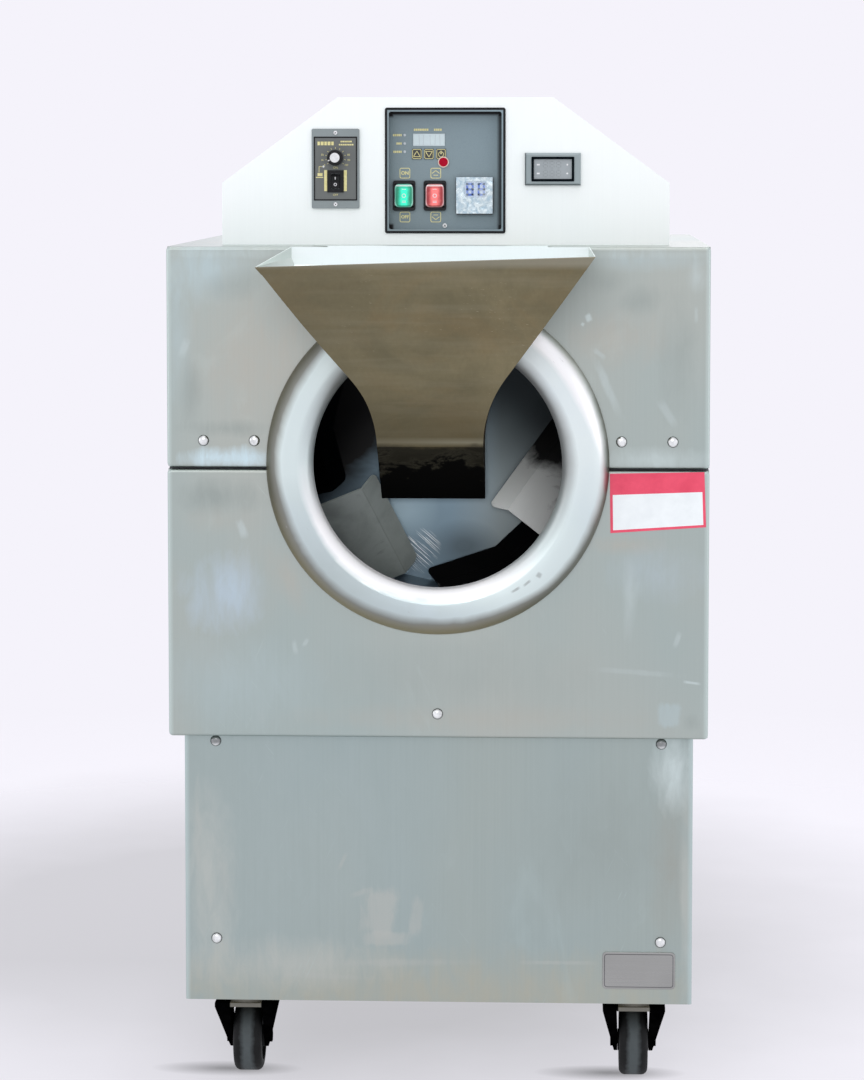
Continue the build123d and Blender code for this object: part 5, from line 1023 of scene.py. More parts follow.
def stroke(x, y, z, length, line, thick, angle=0.0):
    """A short bar, turned by an angle from level."""
    piece = round_plate(0, 0, 0, length, line, 0, thick)
    piece.rotation_euler = (0, -radians(angle), 0)
    piece.location = (x, y, z)
    only(piece)
    return apply_place()


def words(text, x, y, z, size, thick, bold):
    """Lettering, made a mesh."""
    start_fresh()
    bpy.ops.object.text_add(location=(x, y, z), rotation=FORWARD)
    letters = bpy.context.object.data
    letters.body = text
    letters.size = size
    letters.align_x = "CENTER"
    letters.align_y = "CENTER"
    letters.resolution_u = 3
    letters.extrude = thick
    letters.offset = bold
    bpy.ops.object.convert(target="MESH")
    return apply_place()


print("flat pieces ready")

# %% [markdown]
# Print is easiest to lay out in millimetres from the middle of what it belongs to, as on a drawing, so a
# sheet of print keeps that middle and collects the flat pieces that are laid on it.

# %% A sheet of print
PRINT_MM = 0.15


class Print:
    """Flat pieces on one plane, placed in millimetres to the right of and above its middle."""

    def __init__(self, x, y, z, thick=PRINT_MM):
        self.x = x
        self.y = y
        self.z = z
        self.thick = thick * MM
        self.pieces = []

    def at(self, right, up):
        """A place on the sheet."""
        return self.x + right * MM, self.y, self.z + up * MM

    def bar(self, right, up, length, line, angle=0.0):
        """A bar, turned by an angle from level."""
        self.pieces.append(stroke(*self.at(right, up), length * MM, line * MM, self.thick, angle))

    def plate(self, right, up, width, height, radius):
        """A plate with round corners."""
        size = (width * MM, height * MM, radius * MM)
        self.pieces.append(round_plate(*self.at(right, up), *size, self.thick))

    def box(self, right, up, width, height, radius, line):
        """An outline with round corners."""
        size = (width * MM, height * MM, radius * MM, line * MM)
        self.pieces.append(round_frame(*self.at(right, up), *size, self.thick))

    def ring(self, right, up, radius, line, sides=24):
        """A ring."""
        self.pieces.append(hoop(*self.at(right, up), radius * MM, line * MM, self.thick, sides))

    def dot(self, right, up, radius, sides=24, edge=0.0):
        """A round dot, its edge bevelled or not."""
        self.pieces.append(disc(*self.at(right, up), radius * MM, self.thick, sides, edge * MM))

    def word(self, text, right, up, size, bold=0.0):
        """A word or a number."""
        self.pieces.append(words(text, *self.at(right, up), size * MM, self.thick, bold * MM))

    def label(self, left, right, up, height, count):
        """A label as a row of short upright dashes, with nothing written."""
        pitch = (right - left) / count
        for i in range(count):
            self.bar(left + (i + 0.5) * pitch, up, pitch * (0.70 + 0.14 * (i % 2)), height)

    def around(self, width, height, hole_width, hole_height, hole_up):
        """Four thin sheets that leave a hole between them."""
        top = height / 2
        hole_low = hole_up - hole_height / 2
        hole_high = hole_up + hole_height / 2
        side = (width - hole_width) / 2
        self.bar(0, (hole_high + top) / 2, width, top - hole_high)
        self.bar(0, (hole_low - top) / 2, width, top + hole_low)
        for way in (-1, 1):
            self.bar(way * (hole_width + side) / 2, hole_up, side, hole_height)

    def join(self, name, finish, body, slot):
        """Join what is on the sheet into one piece that rides on a body."""
        join(self.pieces, name, finish, body)


print("sheets of print ready")

# %% [markdown]
# ## The hopper's skin
# The real hopper was folded and welded by hand: its lip slants, its sides close in towards the back, and the
# plates are not quite square. It could be modelled anew, but a copy of the solid is surer to fit: it is cut
# into a grid, so that it can bend, and then pulled into that shape.

# %% Cut a copy of the hopper into a grid
MERGE = 0.01 * MM
HOPPER_GRID = 30 * MM
hopper_low, hopper_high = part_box("hopper")


def edit_copy(name, solid):
    """Begin to edit a merged copy of a solid's mesh."""
    start_fresh()
    piece = bpy.data.objects.new(name, nodes[solid].data.copy())
    bpy.context.scene.collection.objects.link(piece)
    only(piece)
    edit_all()
    bpy.ops.mesh.remove_doubles(threshold=MERGE)
    return piece


hopper_skin = edit_copy("hopper_skin", "hopper")
for axis, low, high in ((0, hopper_low.x, hopper_high.x), (2, hopper_low.z, hopper_high.z)):
    steps = int((high - low) / HOPPER_GRID)
    for step in range(1, steps + 1):
        cut = Vector((0, 0, 0))
        cut[axis] = low + (high - low) * step / (steps + 1)
        way = Vector((0, 0, 0))
        way[axis] = 1
        bpy.ops.mesh.select_all(action="SELECT")
        bpy.ops.mesh.bisect(plane_co=cut, plane_no=way)
bpy.ops.object.mode_set(mode="OBJECT")
print("hopper skin has", len(hopper_skin.data.polygons), "faces")

# %% Pull the grid into the hand-made shape
LIP_SLANT = 6.5 * MM
LIP_REACH = 170 * MM
LEFT_TAPER = 0.14
RIGHT_TAPER = 0.03
LEFT_BULGE = 0.045
BULGE_FROM = 0.26
BULGE_TO = 0.97
HOOK_GAP = 2 * MM
BACK_Y = FRONT - 4.2 * MM
half_width = (hopper_high.x - hopper_low.x) / 2


def held(value):
    """A value held between zero and one."""
    return min(max(value, 0), 1)


for vertex in hopper_skin.data.vertices:
    across = (vertex.co.x - HOPPER_X) / half_width
    up = held((vertex.co.z - CREASE_Z) / (LIP_Z - CREASE_Z))
    forward = held((BACK_Y - vertex.co.y) / LIP_REACH)
    if vertex.co.y < BACK_Y + HOOK_GAP:
        bulge = held((up - BULGE_FROM) / (BULGE_TO - BULGE_FROM)) if across < 0 else 0
        taper = LEFT_TAPER if across < 0 else RIGHT_TAPER
        wider = 1 + LEFT_BULGE * sin(pi * bulge) - taper * up * up * (1 - forward)
        vertex.co.z += LIP_SLANT * across * up * up * forward
        vertex.co.x = HOPPER_X + (vertex.co.x - HOPPER_X) * wider
hopper_skin.data.update()
print("lip slants by", round(2 * LIP_SLANT / MM, 1), "mm")

# %% Give the outside its painted brown and the inside its painted bright steel
LIP_EDGE = 7.5 * MM
LIP_TURN = 0.3
HOOK_FROM = 0.5
FOLD_ANGLE = 12
CREASE_Y = FRONT - 30 * MM
LIP_Y = hopper_low.y
# A face that looks at the heart of the funnel or the spout is inside; hearts lie behind and above the face
FUNNEL_HEART = (15 * MM, 5 * MM)
SPOUT_HEART = (40 * MM, 60 * MM)
hopper_skin.data.materials.clear()
hopper_skin.data.materials.append(hopper_painted_brown)
hopper_skin.data.materials.append(hopper_inside_painted_bright)
for polygon in hopper_skin.data.polygons:
    centre = polygon.center
    share = (centre.z - CREASE_Z) / (LIP_Z - CREASE_Z)
    if share > 0:
        wall_y = CREASE_Y + (LIP_Y - CREASE_Y) * min(share, 1)
        heart = Vector((HOPPER_X, wall_y + FUNNEL_HEART[0], centre.z + FUNNEL_HEART[1]))
    else:
        heart = Vector((HOPPER_X, FRONT + SPOUT_HEART[0], centre.z + SPOUT_HEART[1]))
    inside = polygon.normal.dot(heart - centre) > 0
    front_lip = centre.y < LIP_Y + LIP_EDGE and polygon.normal.y < LIP_TURN
    hook = centre.y > BACK_Y + HOOK_GAP and share > HOOK_FROM
    polygon.material_index = 1 if hook or inside and not front_lip else 0
only(hopper_skin)
bpy.ops.object.shade_smooth_by_angle(angle=radians(FOLD_ANGLE))
bpy.ops.object.modifier_add(type="WEIGHTED_NORMAL")
hopper_skin.modifiers[-1].keep_sharp = True
bpy.ops.object.modifier_apply(modifier=hopper_skin.modifiers[-1].name)
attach(hopper_skin, "hopper")
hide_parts("hopper")
print("inside faces", sum(p.material_index for p in hopper_skin.data.polygons))

# %% [markdown]
# ## Domed screws
# The screws of the solids are coarse when seen close. Each gets a smooth dome and a shank at the same place:
# a sphere is squashed and halved for the dome, a cylinder makes the shank.

# %% Find the screws and dome them
SCREW_R = 7.0 * MM
SCREW_DOME = 4.0 * MM
SHANK_R = 4.0 * MM
RIM_ANGLE = 40

edit_copy("screw_places", "panel_screws")
bpy.ops.mesh.separate(type="LOOSE")
bpy.ops.object.mode_set(mode="OBJECT")
screw_boxes = []
for piece in list(bpy.context.selected_objects):
    corners = [vertex.co for vertex in piece.data.vertices]
    low = Vector([min(c[i] for c in corners) for i in range(3)])
    high = Vector([max(c[i] for c in corners) for i in range(3)])
    screw_boxes.append((low, high))
    bpy.data.objects.remove(piece)

domes = []
for low, high in screw_boxes:
    centre = (low + high) / 2
    outward = -1 if centre.y < 0 else 1
    tip, inner = (low.y, high.y) if outward < 0 else (high.y, low.y)
    seat = tip - outward * SCREW_DOME
    start_fresh()
    bpy.ops.mesh.primitive_uv_sphere_add(
        segments=24, ring_count=16, radius=1, location=(centre.x, seat, centre.z)
    )
    bpy.context.object.scale = (SCREW_R, SCREW_DOME, SCREW_R)
    domes.append(apply_place())
    edit_all()
    bpy.ops.mesh.bisect(plane_co=(0, seat, 0), plane_no=(0, outward, 0), clear_inner=True, use_fill=True)
    bpy.ops.object.mode_set(mode="OBJECT")
    bpy.ops.object.shade_smooth_by_angle(angle=radians(RIM_ANGLE))
    start_fresh()
    bpy.ops.mesh.primitive_cylinder_add(
        vertices=16, radius=SHANK_R, depth=abs(inner - seat), rotation=FORWARD,
        location=(centre.x, (inner + seat) / 2, centre.z),
    )
    domes.append(bpy.context.object)
screws = join(domes, "domed_screws", screw_finish, "machine")
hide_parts("panel_screws")
print("domed", len(screw_boxes), "screws")

# %% [markdown]
# ## Print and lamps on the control tray
# The tray carries yellow print: labels beside three small lamps and above the window, a boxed word or arrow
# above and below each rocker, and a symbol on each key. Labels that only name a function are plain dashes.

# %% Inks and other small finishes
yellow_ink = grained(
    "yellow_ink", (0.72, 0.66, 0.27), (0.86, 0.80, 0.40), (0.5, 0.65), 1500, PRINTED, broad=300
)
white_ink = grained(
    "white_ink", (0.74, 0.75, 0.74), (0.86, 0.87, 0.86), (0.5, 0.62), 1500, PRINTED, broad=300
)
lamp_clear = grained(
    "lamp_clear", (0.50, 0.56, 0.59), (0.64, 0.70, 0.72), (0.12, 0.2), 500, PRINTED, coat=0.5
)
stripe_pale = grained("window_stripe", (0.50, 0.58, 0.60), (0.57, 0.65, 0.67), (0.2, 0.3), 200, PRINTED)
segment_grey = grained("segment_grey", (0.25, 0.28, 0.28), (0.30, 0.33, 0.33), (0.3, 0.4), 900, PRINTED)
sticker_red = grained(
    "sticker_red", (0.36, 0.002, 0.016), (0.50, 0.004, 0.030), (0.4, 0.55), 500, PRINTED, broad=120,
    shine=0.08,
)
sticker_pale = grained(
    "sticker_rim", (0.70, 0.52, 0.42), (0.86, 0.72, 0.62), (0.35, 0.5), 700, PRINTED, broad=120
)
print("small finishes ready")

# %% Lamps, label bars and the window's stripes
LAMP_R = 1.8
LAMP_T = 1.1
LAMP_RIGHT = -31.1
LAMP_UPS = (5.9, -4.8, -15.4)
LABEL_WIDTHS = (11.8, 7.4, 11.4)
LABEL_RIGHT = LAMP_RIGHT - 3.6
LABEL_HEIGHT = 2.7
LETTER = 2.4
WINDOW_LABELS = ((-19.6, -0.6), (6.1, 16.4))
WINDOW_LABEL_UP = 12.8
STRIPE_SIZE = (0.7, 13.0)
STRIPES = ((-12.5, 3), (-7.0, -2), (1.5, 2), (8.0, -3), (14.0, 2))
window_x, window_face, window_z = front_of("display_window")
TRAY_FACE = window_face + 0.6 * MM

lamps = Print(window_x, TRAY_FACE, window_z, LAMP_T)
tray_ink = Print(window_x, TRAY_FACE, window_z)
for up, width in zip(LAMP_UPS, LABEL_WIDTHS):
    lamps.dot(LAMP_RIGHT, up, LAMP_R, 20, 0.5)
    tray_ink.label(LABEL_RIGHT - width, LABEL_RIGHT, up, LABEL_HEIGHT, round(width / LETTER))
for left, right in WINDOW_LABELS:
    tray_ink.label(left, right, WINDOW_LABEL_UP, LABEL_HEIGHT, round((right - left) / LETTER))
lamps.join("tray_lamps", lamp_clear, "machine", "window_lens")

stripes = Print(window_x, window_face, window_z, 0.05)
for right, lean in STRIPES:
    stripes.bar(right, 0, *STRIPE_SIZE, lean)
stripes.join("window_stripes", stripe_pale, "machine", "window_lens")
print("label bars", len(tray_ink.pieces))

# %% Boxed words and arrows around the rockers
BOX = 13.5
BOX_LINE = 0.9
BOX_UP = 28.7
BOX_DOWN = -27.4
BOX_SHIFT = 1 * MM
power = middle("power_rocker")
direction = middle("direction_rocker")
power_ink = Print(power.x + BOX_SHIFT, TRAY_FACE, power.z)
direction_ink = Print(direction.x + BOX_SHIFT, TRAY_FACE, direction.z)
for ink in (power_ink, direction_ink):
    for up in (BOX_UP, BOX_DOWN):
        ink.box(0, up, BOX, BOX, 2.2, BOX_LINE)
power_ink.word("ON", 0, BOX_UP, 6.2, 0.22)
power_ink.word("OFF", 0, BOX_DOWN, 5.6, 0.2)
for up, way in ((BOX_UP, 1), (BOX_DOWN, -1)):
    for side in (-1, 1):
        direction_ink.bar(side * 2.3, up + way * 1.6, 6.2, BOX_LINE, -side * way * 38)
    direction_ink.bar(0, up - way * 2.6, 6.0, BOX_LINE)
tray_ink.pieces += power_ink.pieces + direction_ink.pieces
tray_ink.join("tray_print", yellow_ink, "machine", "tray_plastic")
print("tray print done")

# %% Symbols on the three keys
KEY_BOX = (11.6, 12.4)
KEY_LINE = 0.8
ARROW_LEAN = 58.6
POWER_R = 3.2
POWER_START = 128
POWER_STEP = 28.4


def key_print(name):
    """A sheet on a key's face, with the rounded box that every key has."""
    ink = Print(*front_of(name))
    ink.box(0, 0, *KEY_BOX, 1.8, 0.7)
    return ink


for name, way in (("key_up", 1), ("key_down", -1)):
    ink = key_print(name)
    ink.bar(0, -way * 3.4, 8.8, KEY_LINE)
    for side in (-1, 1):
        ink.bar(side * 2.2, way * 0.2, 8.4, KEY_LINE, -side * way * ARROW_LEAN)
    ink.join(name + "_symbol", yellow_ink, name, "key_plastic")

ink = key_print("key_power")
for step in range(11):
    angle = POWER_START + POWER_STEP * step
    right, up = cos(radians(angle)) * POWER_R, sin(radians(angle)) * POWER_R
    ink.bar(right, up - 0.4, 1.9, KEY_LINE, angle + 90)
ink.bar(0, 2.0, 1.3, 4.4)
ink.join("key_power_symbol", yellow_ink, "key_power", "key_plastic")
print("key symbols done")

# %% Round sticker and tray screw
# The sticker covers a corner of its key, so it rides on the key, just in front of the key's print.
STICKER_IN = 4.3 * MM
STICKER_DOWN = 2.6 * MM
STICKER_R = 5.8
TRAY_SCREW = (-1.1 * MM, -70.6 * MM)
key_low, key_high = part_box("key_power")
sticker_at = (key_high.x - STICKER_IN, key_low.y - PRINT_MM * MM, key_low.z - STICKER_DOWN)
rim = Print(*sticker_at, 0.1)
rim.ring(0, 0, STICKER_R + 1.2, 1.2, 40)
rim.join("sticker_rim", sticker_pale, "key_power", "key_plastic")
dot = Print(*sticker_at, 0.08)
dot.dot(0, 0, STICKER_R, 40, 0.03)
dot.join("sticker_dot", sticker_red, "key_power", "key_plastic")


def small_screw(name, x, y, z, radius):
    """A flat-topped screw with a cross slot."""
    head_height = 0.9
    head = Print(x, y, z, head_height)
    head.dot(0, 0, radius, 28, 0.35)
    head.join(name, screw_finish, "machine", "polished_steel")
    slots = Print(x, y - head_height * MM, z, 0.08)
    for angle in (35, 125):
        slots.bar(0, 0, radius * 1.3, radius * 0.22, angle)
    slots.join(name + "_slot", rim_plastic, "machine", "tray_plastic")


tray = middle("control_tray")
small_screw("tray_screw", tray.x + TRAY_SCREW[0], TRAY_FACE, tray.z + TRAY_SCREW[1], 3.0)
print("sticker and screw done")

# %% [markdown]
# ## Caps and marks of the rockers
# Each lens cap is a rounded block, cut back to the round that it swings through, so that it clears its frame.
# It carries a small ring in its middle and three bars near its ends. They ride on the rockers, so they tip
# with them. The speed controller's own rocker has a bar and a ring.

# %% Rocker caps and marks
CAP_GROW = 0.4 * MM
CAP_PROUD = 0.3 * MM
CAP_DEPTH = 9.0 * MM
CAP_BEVEL = 3.6 * MM
SWING_GROW = 0.1 * MM


def rocker_cap(solid):
    """A rounded cap over a rocker, inside the round that it swings through."""
    low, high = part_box(solid)
    x, face, z = front_of(solid)
    start_fresh()
    bpy.ops.mesh.primitive_cube_add(size=1, location=(x, face - CAP_PROUD + CAP_DEPTH / 2, z))
    bpy.context.object.scale = (high.x - low.x + CAP_GROW, CAP_DEPTH, high.z - low.z + CAP_GROW)
    cap = apply_place()
    edit_all()
    bpy.ops.mesh.bevel(offset=CAP_BEVEL, segments=6, affect="EDGES")
    bpy.ops.object.mode_set(mode="OBJECT")
    half_height = (high.z - low.z) / 2
    pivot_y = high.y - half_height
    for vertex in cap.data.vertices:
        reach = sqrt((half_height + SWING_GROW) ** 2 - (vertex.co.y - pivot_y) ** 2)
        vertex.co.z = z + min(max(vertex.co.z - z, -reach), reach)
    only(cap)
    bpy.ops.object.shade_smooth()
    return cap


ROCKERS = (("power_rocker", green_lens, "green_lens"), ("direction_rocker", red_lens, "red_lens"))
for name, finish, slot in ROCKERS:
    join([rocker_cap(name)], name + "_cap", finish, name)
    x, face, z = front_of(name)
    ink = Print(x, face - CAP_PROUD, z)
    ink.ring(0, 0, 2.7, 0.9)
    for up in (-8.6, -7.0, 8.2):
        ink.bar(0, up, 5.0, 0.8)
    ink.join(name + "_marks", white_ink, name, "key_plastic")
print("rocker caps done")

# %% [markdown]
# ## The speed controller's face
# A grey plate holds a darker face with a dark border. Around the knob runs a scale with numbers, two yellow
# bars stand beside the rocker, and a white cap with a pointer sits on the knob. The face is made of four thin
# sheets around the rocker, because one sheet would cover it.

# %% Face and border
SPEED_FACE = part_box("control_panel")[0].y - 4 * MM
RUN_FACE = SPEED_FACE - 1.5 * MM
FACE_SIZE = (55.6, 81.4)
BORDER_IN = 3.2
FACE_T = 0.25
RUN_UP = -16.2
RUN_FRAME = (21.2, 28.2)
RUN_HOLE = (10.8, 19.2)
SCREW_UP = 45.6 * MM
speed = middle("speed_controller")
run_z = speed.z + RUN_UP * MM
face_plastic = grained(
    "speed_face", (0.115, 0.128, 0.122), (0.145, 0.158, 0.150), (0.4, 0.5), 900, MOULDED
)

border = Print(speed.x, SPEED_FACE, speed.z, 0.5)
border.box(0, 0, *FACE_SIZE, 0.8, 1.7)
border.join("speed_border", rim_plastic, "machine", "controller_plastic")
face = Print(speed.x, SPEED_FACE, speed.z, FACE_T)
face.around(FACE_SIZE[0] - BORDER_IN, FACE_SIZE[1] - BORDER_IN, *RUN_FRAME, RUN_UP)
face.join("speed_face", face_plastic, "machine", "controller_plastic")
run_face = Print(speed.x, RUN_FACE, run_z, 0.3)
run_face.around(*RUN_FRAME, *RUN_HOLE, 0)
run_face.join("run_frame_face", rim_plastic, "machine", "controller_plastic")
small_screw("speed_screw_low", speed.x, SPEED_FACE, speed.z - SCREW_UP, 2.6)
small_screw("speed_screw_high", speed.x, SPEED_FACE, speed.z + SCREW_UP, 2.6)
print("speed face done")

# %% Scale, numbers and bars
SCALE_FACE = SPEED_FACE - FACE_T * MM
SCALE_START = 217.0
SCALE_STEP = 25.4
TICK_R = 12.4
NUMBER_R = (17.4, 15.6)
NUMBERED = (0, 1, 2, 8, 9, 10)
# Labels: left, right, up, height and number of dashes; bars: right, up, length and height
FACE_LABELS = ((-23.6, -1.6, 48.2, 4.6, 5), (6.1, 21.1, 50.6, 1.9, 6), (4.1, 23.1, 46.6, 1.9, 8))
CORNER_BARS = (
    (-18.5, 18.8, 5.0, 0.7), (-21.0, 15.2, 0.7, 7.8), (-19.8, 8.6, 6.4, 3.8), (-20.4, 5.0, 9.4, 1.2)
)
knob = middle("speed_knob")
scale = Print(knob.x, SCALE_FACE, knob.z)
for tick in range(11):
    angle = SCALE_START - tick * SCALE_STEP
    right, up = cos(radians(angle)), sin(radians(angle))
    scale.bar(right * TICK_R, up * TICK_R, 1.9, 0.6, angle)
    if tick in NUMBERED:
        scale.word(str(tick * 10), right * NUMBER_R[0], up * NUMBER_R[1], 3.4)
ink = Print(speed.x, SCALE_FACE, run_z)
for side in (-1, 1):
    ink.bar(side * 12.6, 0.9, 3.8, 26.8)
for label in FACE_LABELS:
    ink.label(*label)
ink.word("ON", 0, 17.2, 3.8)
ink.word("OFF", 0, -17.4, 3.8)
for bar in CORNER_BARS:
    ink.bar(*bar)
scale.pieces += ink.pieces
scale.join("speed_print", yellow_ink, "machine", "controller_plastic")
spot = Print(speed.x, SCALE_FACE, run_z)
spot.dot(-15.4, 18.8, 1.4, 20)
spot.join("speed_spot", white_ink, "machine", "controller_plastic")
print("speed scale done")

# %% Knob cap, pointer and rocker marks
POINTER_ANGLE = 205.0
POINTER_R = 6.0
CAP_SUNK = 1.5 * MM
KNOB_CAP_R = 6.3 * MM
KNOB_CAP_T = 1.7 * MM
cap_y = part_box("speed_knob")[0].y + CAP_SUNK
cap = Print(knob.x, cap_y, knob.z, 0.5)
cap.pieces.append(disc(knob.x, cap_y, knob.z, KNOB_CAP_R, KNOB_CAP_T, 48, 0.5 * MM))
right, up = cos(radians(POINTER_ANGLE)), sin(radians(POINTER_ANGLE))
cap.bar(right * POINTER_R, up * POINTER_R, 7.4, 1.3, POINTER_ANGLE)
cap.join("knob_cap", white_ink, "speed_knob", "knob_plastic")
run_x, run_front, run_middle = front_of("run_rocker")
run_bar = Print(run_x, run_front + 0.9 * MM, run_middle, 0.6)
run_bar.bar(0, 4.5, 0.9, 4.4)
run_ring = Print(run_x, run_front + 2.3 * MM, run_middle, 0.6)
run_ring.ring(0, -4.0, 2.0, 0.7)
run_bar.pieces += run_ring.pieces
run_bar.join("run_rocker_marks", white_ink, "run_rocker", "knob_plastic")
print("knob cap at", [round(v, 4) for v in knob])

# %% [markdown]
# ## Digits, film and glass
# The display at the right has a black frame, a grey glass and two rows of unlit seven-segment digits with a
# bright mark at each side. The square controller still wears its shipping film, so its blue digits are seen
# through silvery crinkles. Digits could be letters, but real segments have points and gaps, as here.


# %% A seven-segment digit
def segment(x, y, z, width, height, thick):
    """One pointed stroke: a flat six-sided bar."""
    start_fresh()
    bpy.ops.mesh.primitive_circle_add(vertices=6, radius=0.5, fill_type="NGON", rotation=FORWARD)
    piece = bpy.context.object
    bpy.ops.object.transform_apply(location=False, rotation=True, scale=False)
    piece.scale = (width, 1, height)
    piece.location = (x, y, z)
    apply_place()
    edit_all()
    return thicken(thick)


def digit(x, y, z, width, height, line, thick):
    """Seven pointed strokes that stand in the shape of an eight."""
    broad = line * 1.1
    strokes = [segment(x, y, z + row * height / 2, width - line, broad, thick) for row in (-1, 0, 1)]
    for column in (-1, 1):
        for row in (-1, 1):
            at = (x + column * width / 2, y, z + row * height / 4)
            strokes.append(segment(*at, broad, height / 2 - line, thick))
    return strokes


print("digit helper ready")

# %% The display at the right
GLASS_IN = 1.5 * MM
GLASS_T = 0.5
DIGIT = (5.2 * MM, 8.4 * MM, 1.0 * MM, 0.1 * MM)
DIGIT_ROW = 5.6
DIGIT_PITCH = 8.4
frame_black = grained(
    "display_frame_black", (0.002, 0.005, 0.007), (0.004, 0.008, 0.011), (0.4, 0.5), 900, MOULDED, shine=0.03
)
glass_grey = grained(
    "display_glass", (0.335, 0.375, 0.385), (0.405, 0.450, 0.460), (0.12, 0.2), 60, PRINTED, coat=0.3
)
readout_x, readout_face, readout_z = front_of("temperature_display")
glass_face = readout_face + GLASS_IN
frame_ring = Print(readout_x, readout_face, readout_z, 0.8)
frame_ring.box(0, 0, 54.5, 31.4, 1.2, 3.2)
frame_ring.join("display_frame", frame_black, "machine", "controller_plastic")
glass = Print(readout_x, glass_face, readout_z, GLASS_T)
glass.plate(0, 0, 48.6, 25.2, 0.6)
glass.join("display_glass", glass_grey, "machine", "window_lens")
digits = Print(readout_x, glass_face - GLASS_T * MM, readout_z, 0.1)
marks = Print(readout_x, glass_face - GLASS_T * MM, readout_z, 0.1)
for up in (-DIGIT_ROW, DIGIT_ROW):
    for column in (-1, 0, 1):
        digits.pieces += digit(*digits.at(column * DIGIT_PITCH - 1.0, up), *DIGIT)
    marks.bar(-18.6, up, 3.8, 2.0)
    marks.dot(18.4, up, 1.2, 16)
digits.join("display_digits", segment_grey, "machine", "window_lens")
marks.join("display_marks", white_ink, "machine", "window_lens")
print("display digits done")

# %% The controller under its film
FIGURE_AT = (1.6 * MM, 8.2 * MM)
SIGHT = (15 * MM, 10.8 * MM)
control_x, control_face, control_z = front_of("temperature_controller")
figure_x = control_x + FIGURE_AT[0]
figure_z = control_z + FIGURE_AT[1]
screen_pale = grained("screen_pale", (0.56, 0.66, 0.80), (0.68, 0.77, 0.88), (0.25, 0.35), 300, PRINTED)
digit_blue = grained(
    "digit_blue", (0.08, 0.18, 0.66), (0.13, 0.25, 0.80), (0.3, 0.4), 900, PRINTED, broad=200
)

screen = Print(control_x, control_face + 1 * MM, control_z, 0.3)
screen.plate(0, 8, 41.6, 25, 1)
screen.join("controller_screen", screen_pale, "machine", "window_lens")
figures = Print(figure_x, control_face + 0.7 * MM, figure_z, 0.1)
for right in (-7.3, 7.3):
    for up in (-6.9, 0, 6.9):
        figures.bar(right, up, 9.4, 2.7)
    for side in (-3.3, 3.3):
        figures.bar(right + side, 0, 2.8, 15.6)
figures.join("controller_digits", digit_blue, "machine", "controller_plastic")
pads = Print(control_x, control_face + 1 * MM, control_z, 0.6)
for right in (-14.4, -4.8, 4.8, 14.4):
    pads.plate(right, -14.5, 7.6, 5.6, 1)
pads.join("controller_pads", bezel_plastic, "machine", "controller_plastic")
print("controller face done")

# %% The film itself
FILM = 46.6 * MM
FILM_CUTS = 56
FILM_PROUD = 0.5 * MM
FILM_UP = 0.5 * MM
FOLDS_PER_METRE = 130
FOLD_HEIGHT = 0.45 * MM


def crinkled_film():
    """Clear wrinkled film: silvery where it creases and low down, clearest over the digits."""
    f = Finish("film_silver")
    creases = f.cloud(110.0, 4.0, 0.55, 1.2)
    colour = f.ramp(creases, (0.50, 0.67, 0.76), (0.88, 0.99, 1.0), (0.36, 0.62))
    rough = f.span(creases, 0.12, 0.34, 0.3, 0.7)
    clear = f.span(creases, 0.06, 0.45, 0.40, 0.68)
    crinkled = f.span(f.along("Z", control_z), 1.0, 0.0, -0.006, 0.001)
    around = f.box_length(f.patch((figure_x, figure_z), SIGHT))
    silver = f.calc("MAXIMUM", f.span(around, 0.0, 0.9, 0.85, 1.05), f.times(crinkled, 0.9))
    alpha = f.calc("MAXIMUM", clear, silver)
    return f.done(colour, rough, (creases, 0.35, 0.0012), metal=0.35, alpha=alpha)


start_fresh()
bpy.ops.mesh.primitive_grid_add(
    x_subdivisions=FILM_CUTS, y_subdivisions=FILM_CUTS, size=FILM, rotation=FORWARD,
    location=(control_x, control_face - FILM_PROUD, control_z + FILM_UP),
)
film = apply_place()
for vertex in film.data.vertices:
    at = vertex.co * FOLDS_PER_METRE
    broad_fold = noise.noise(Vector((at.x, at.z * 0.8, 1.7)))
    small_fold = noise.noise(Vector((at.x * 2.3, at.z * 2.1, 4.1)))
    vertex.co.y += FOLD_HEIGHT * (broad_fold + 0.5 * small_fold)
only(film)
bpy.ops.object.shade_smooth()
join([film], "controller_film", crinkled_film(), "machine")
print("film done")

# %% [markdown]
# ## Badge and tag
# A bare brushed plate with a rounded dark border sits low on the cabinet, and a plain two-tone tag is stuck
# on the tub beside the mouth, its upper band red. The tag is askew and not quite square, so its sheets are
# stretched to four corners instead of being turned.

# %% Badge plate
BADGE = (92.0, 47.3)
BADGE_AT = (254.8 * MM, 161.0 * MM)
BADGE_T = 1.6
BADGE_BORDER = 4.5
badge_steel = brushed_sheet(
    "badge_brushed", (0.24, 0.245, 0.235), (0.40, 0.405, 0.385), 0.3, 0.1, GRAIN_LEVEL
)
dark_line = grained("badge_line_dark", (0.06, 0.06, 0.062), (0.12, 0.12, 0.125), (0.35, 0.5), 600, PRINTED)
badge = round_plate(
    BADGE_AT[0], CABINET_FRONT, BADGE_AT[1], BADGE[0] * MM, BADGE[1] * MM, 5 * MM, BADGE_T * MM, 6
)
only(badge)
for polygon in badge.data.polygons:
    polygon.select = polygon.normal.y < -0.9
bpy.ops.object.mode_set(mode="EDIT")
bpy.ops.mesh.bevel(offset=0.5 * MM, segments=2, affect="EDGES")
bpy.ops.object.mode_set(mode="OBJECT")
join([badge], "badge_plate", badge_steel, "machine")
badge_line = Print(BADGE_AT[0], CABINET_FRONT - BADGE_T * MM, BADGE_AT[1], 0.12)
badge_line.box(0, 0, BADGE[0] - BADGE_BORDER, BADGE[1] - BADGE_BORDER, 3.6, 0.9)
badge_line.join("badge_line", dark_line, "machine", "controller_plastic")
print("badge done")

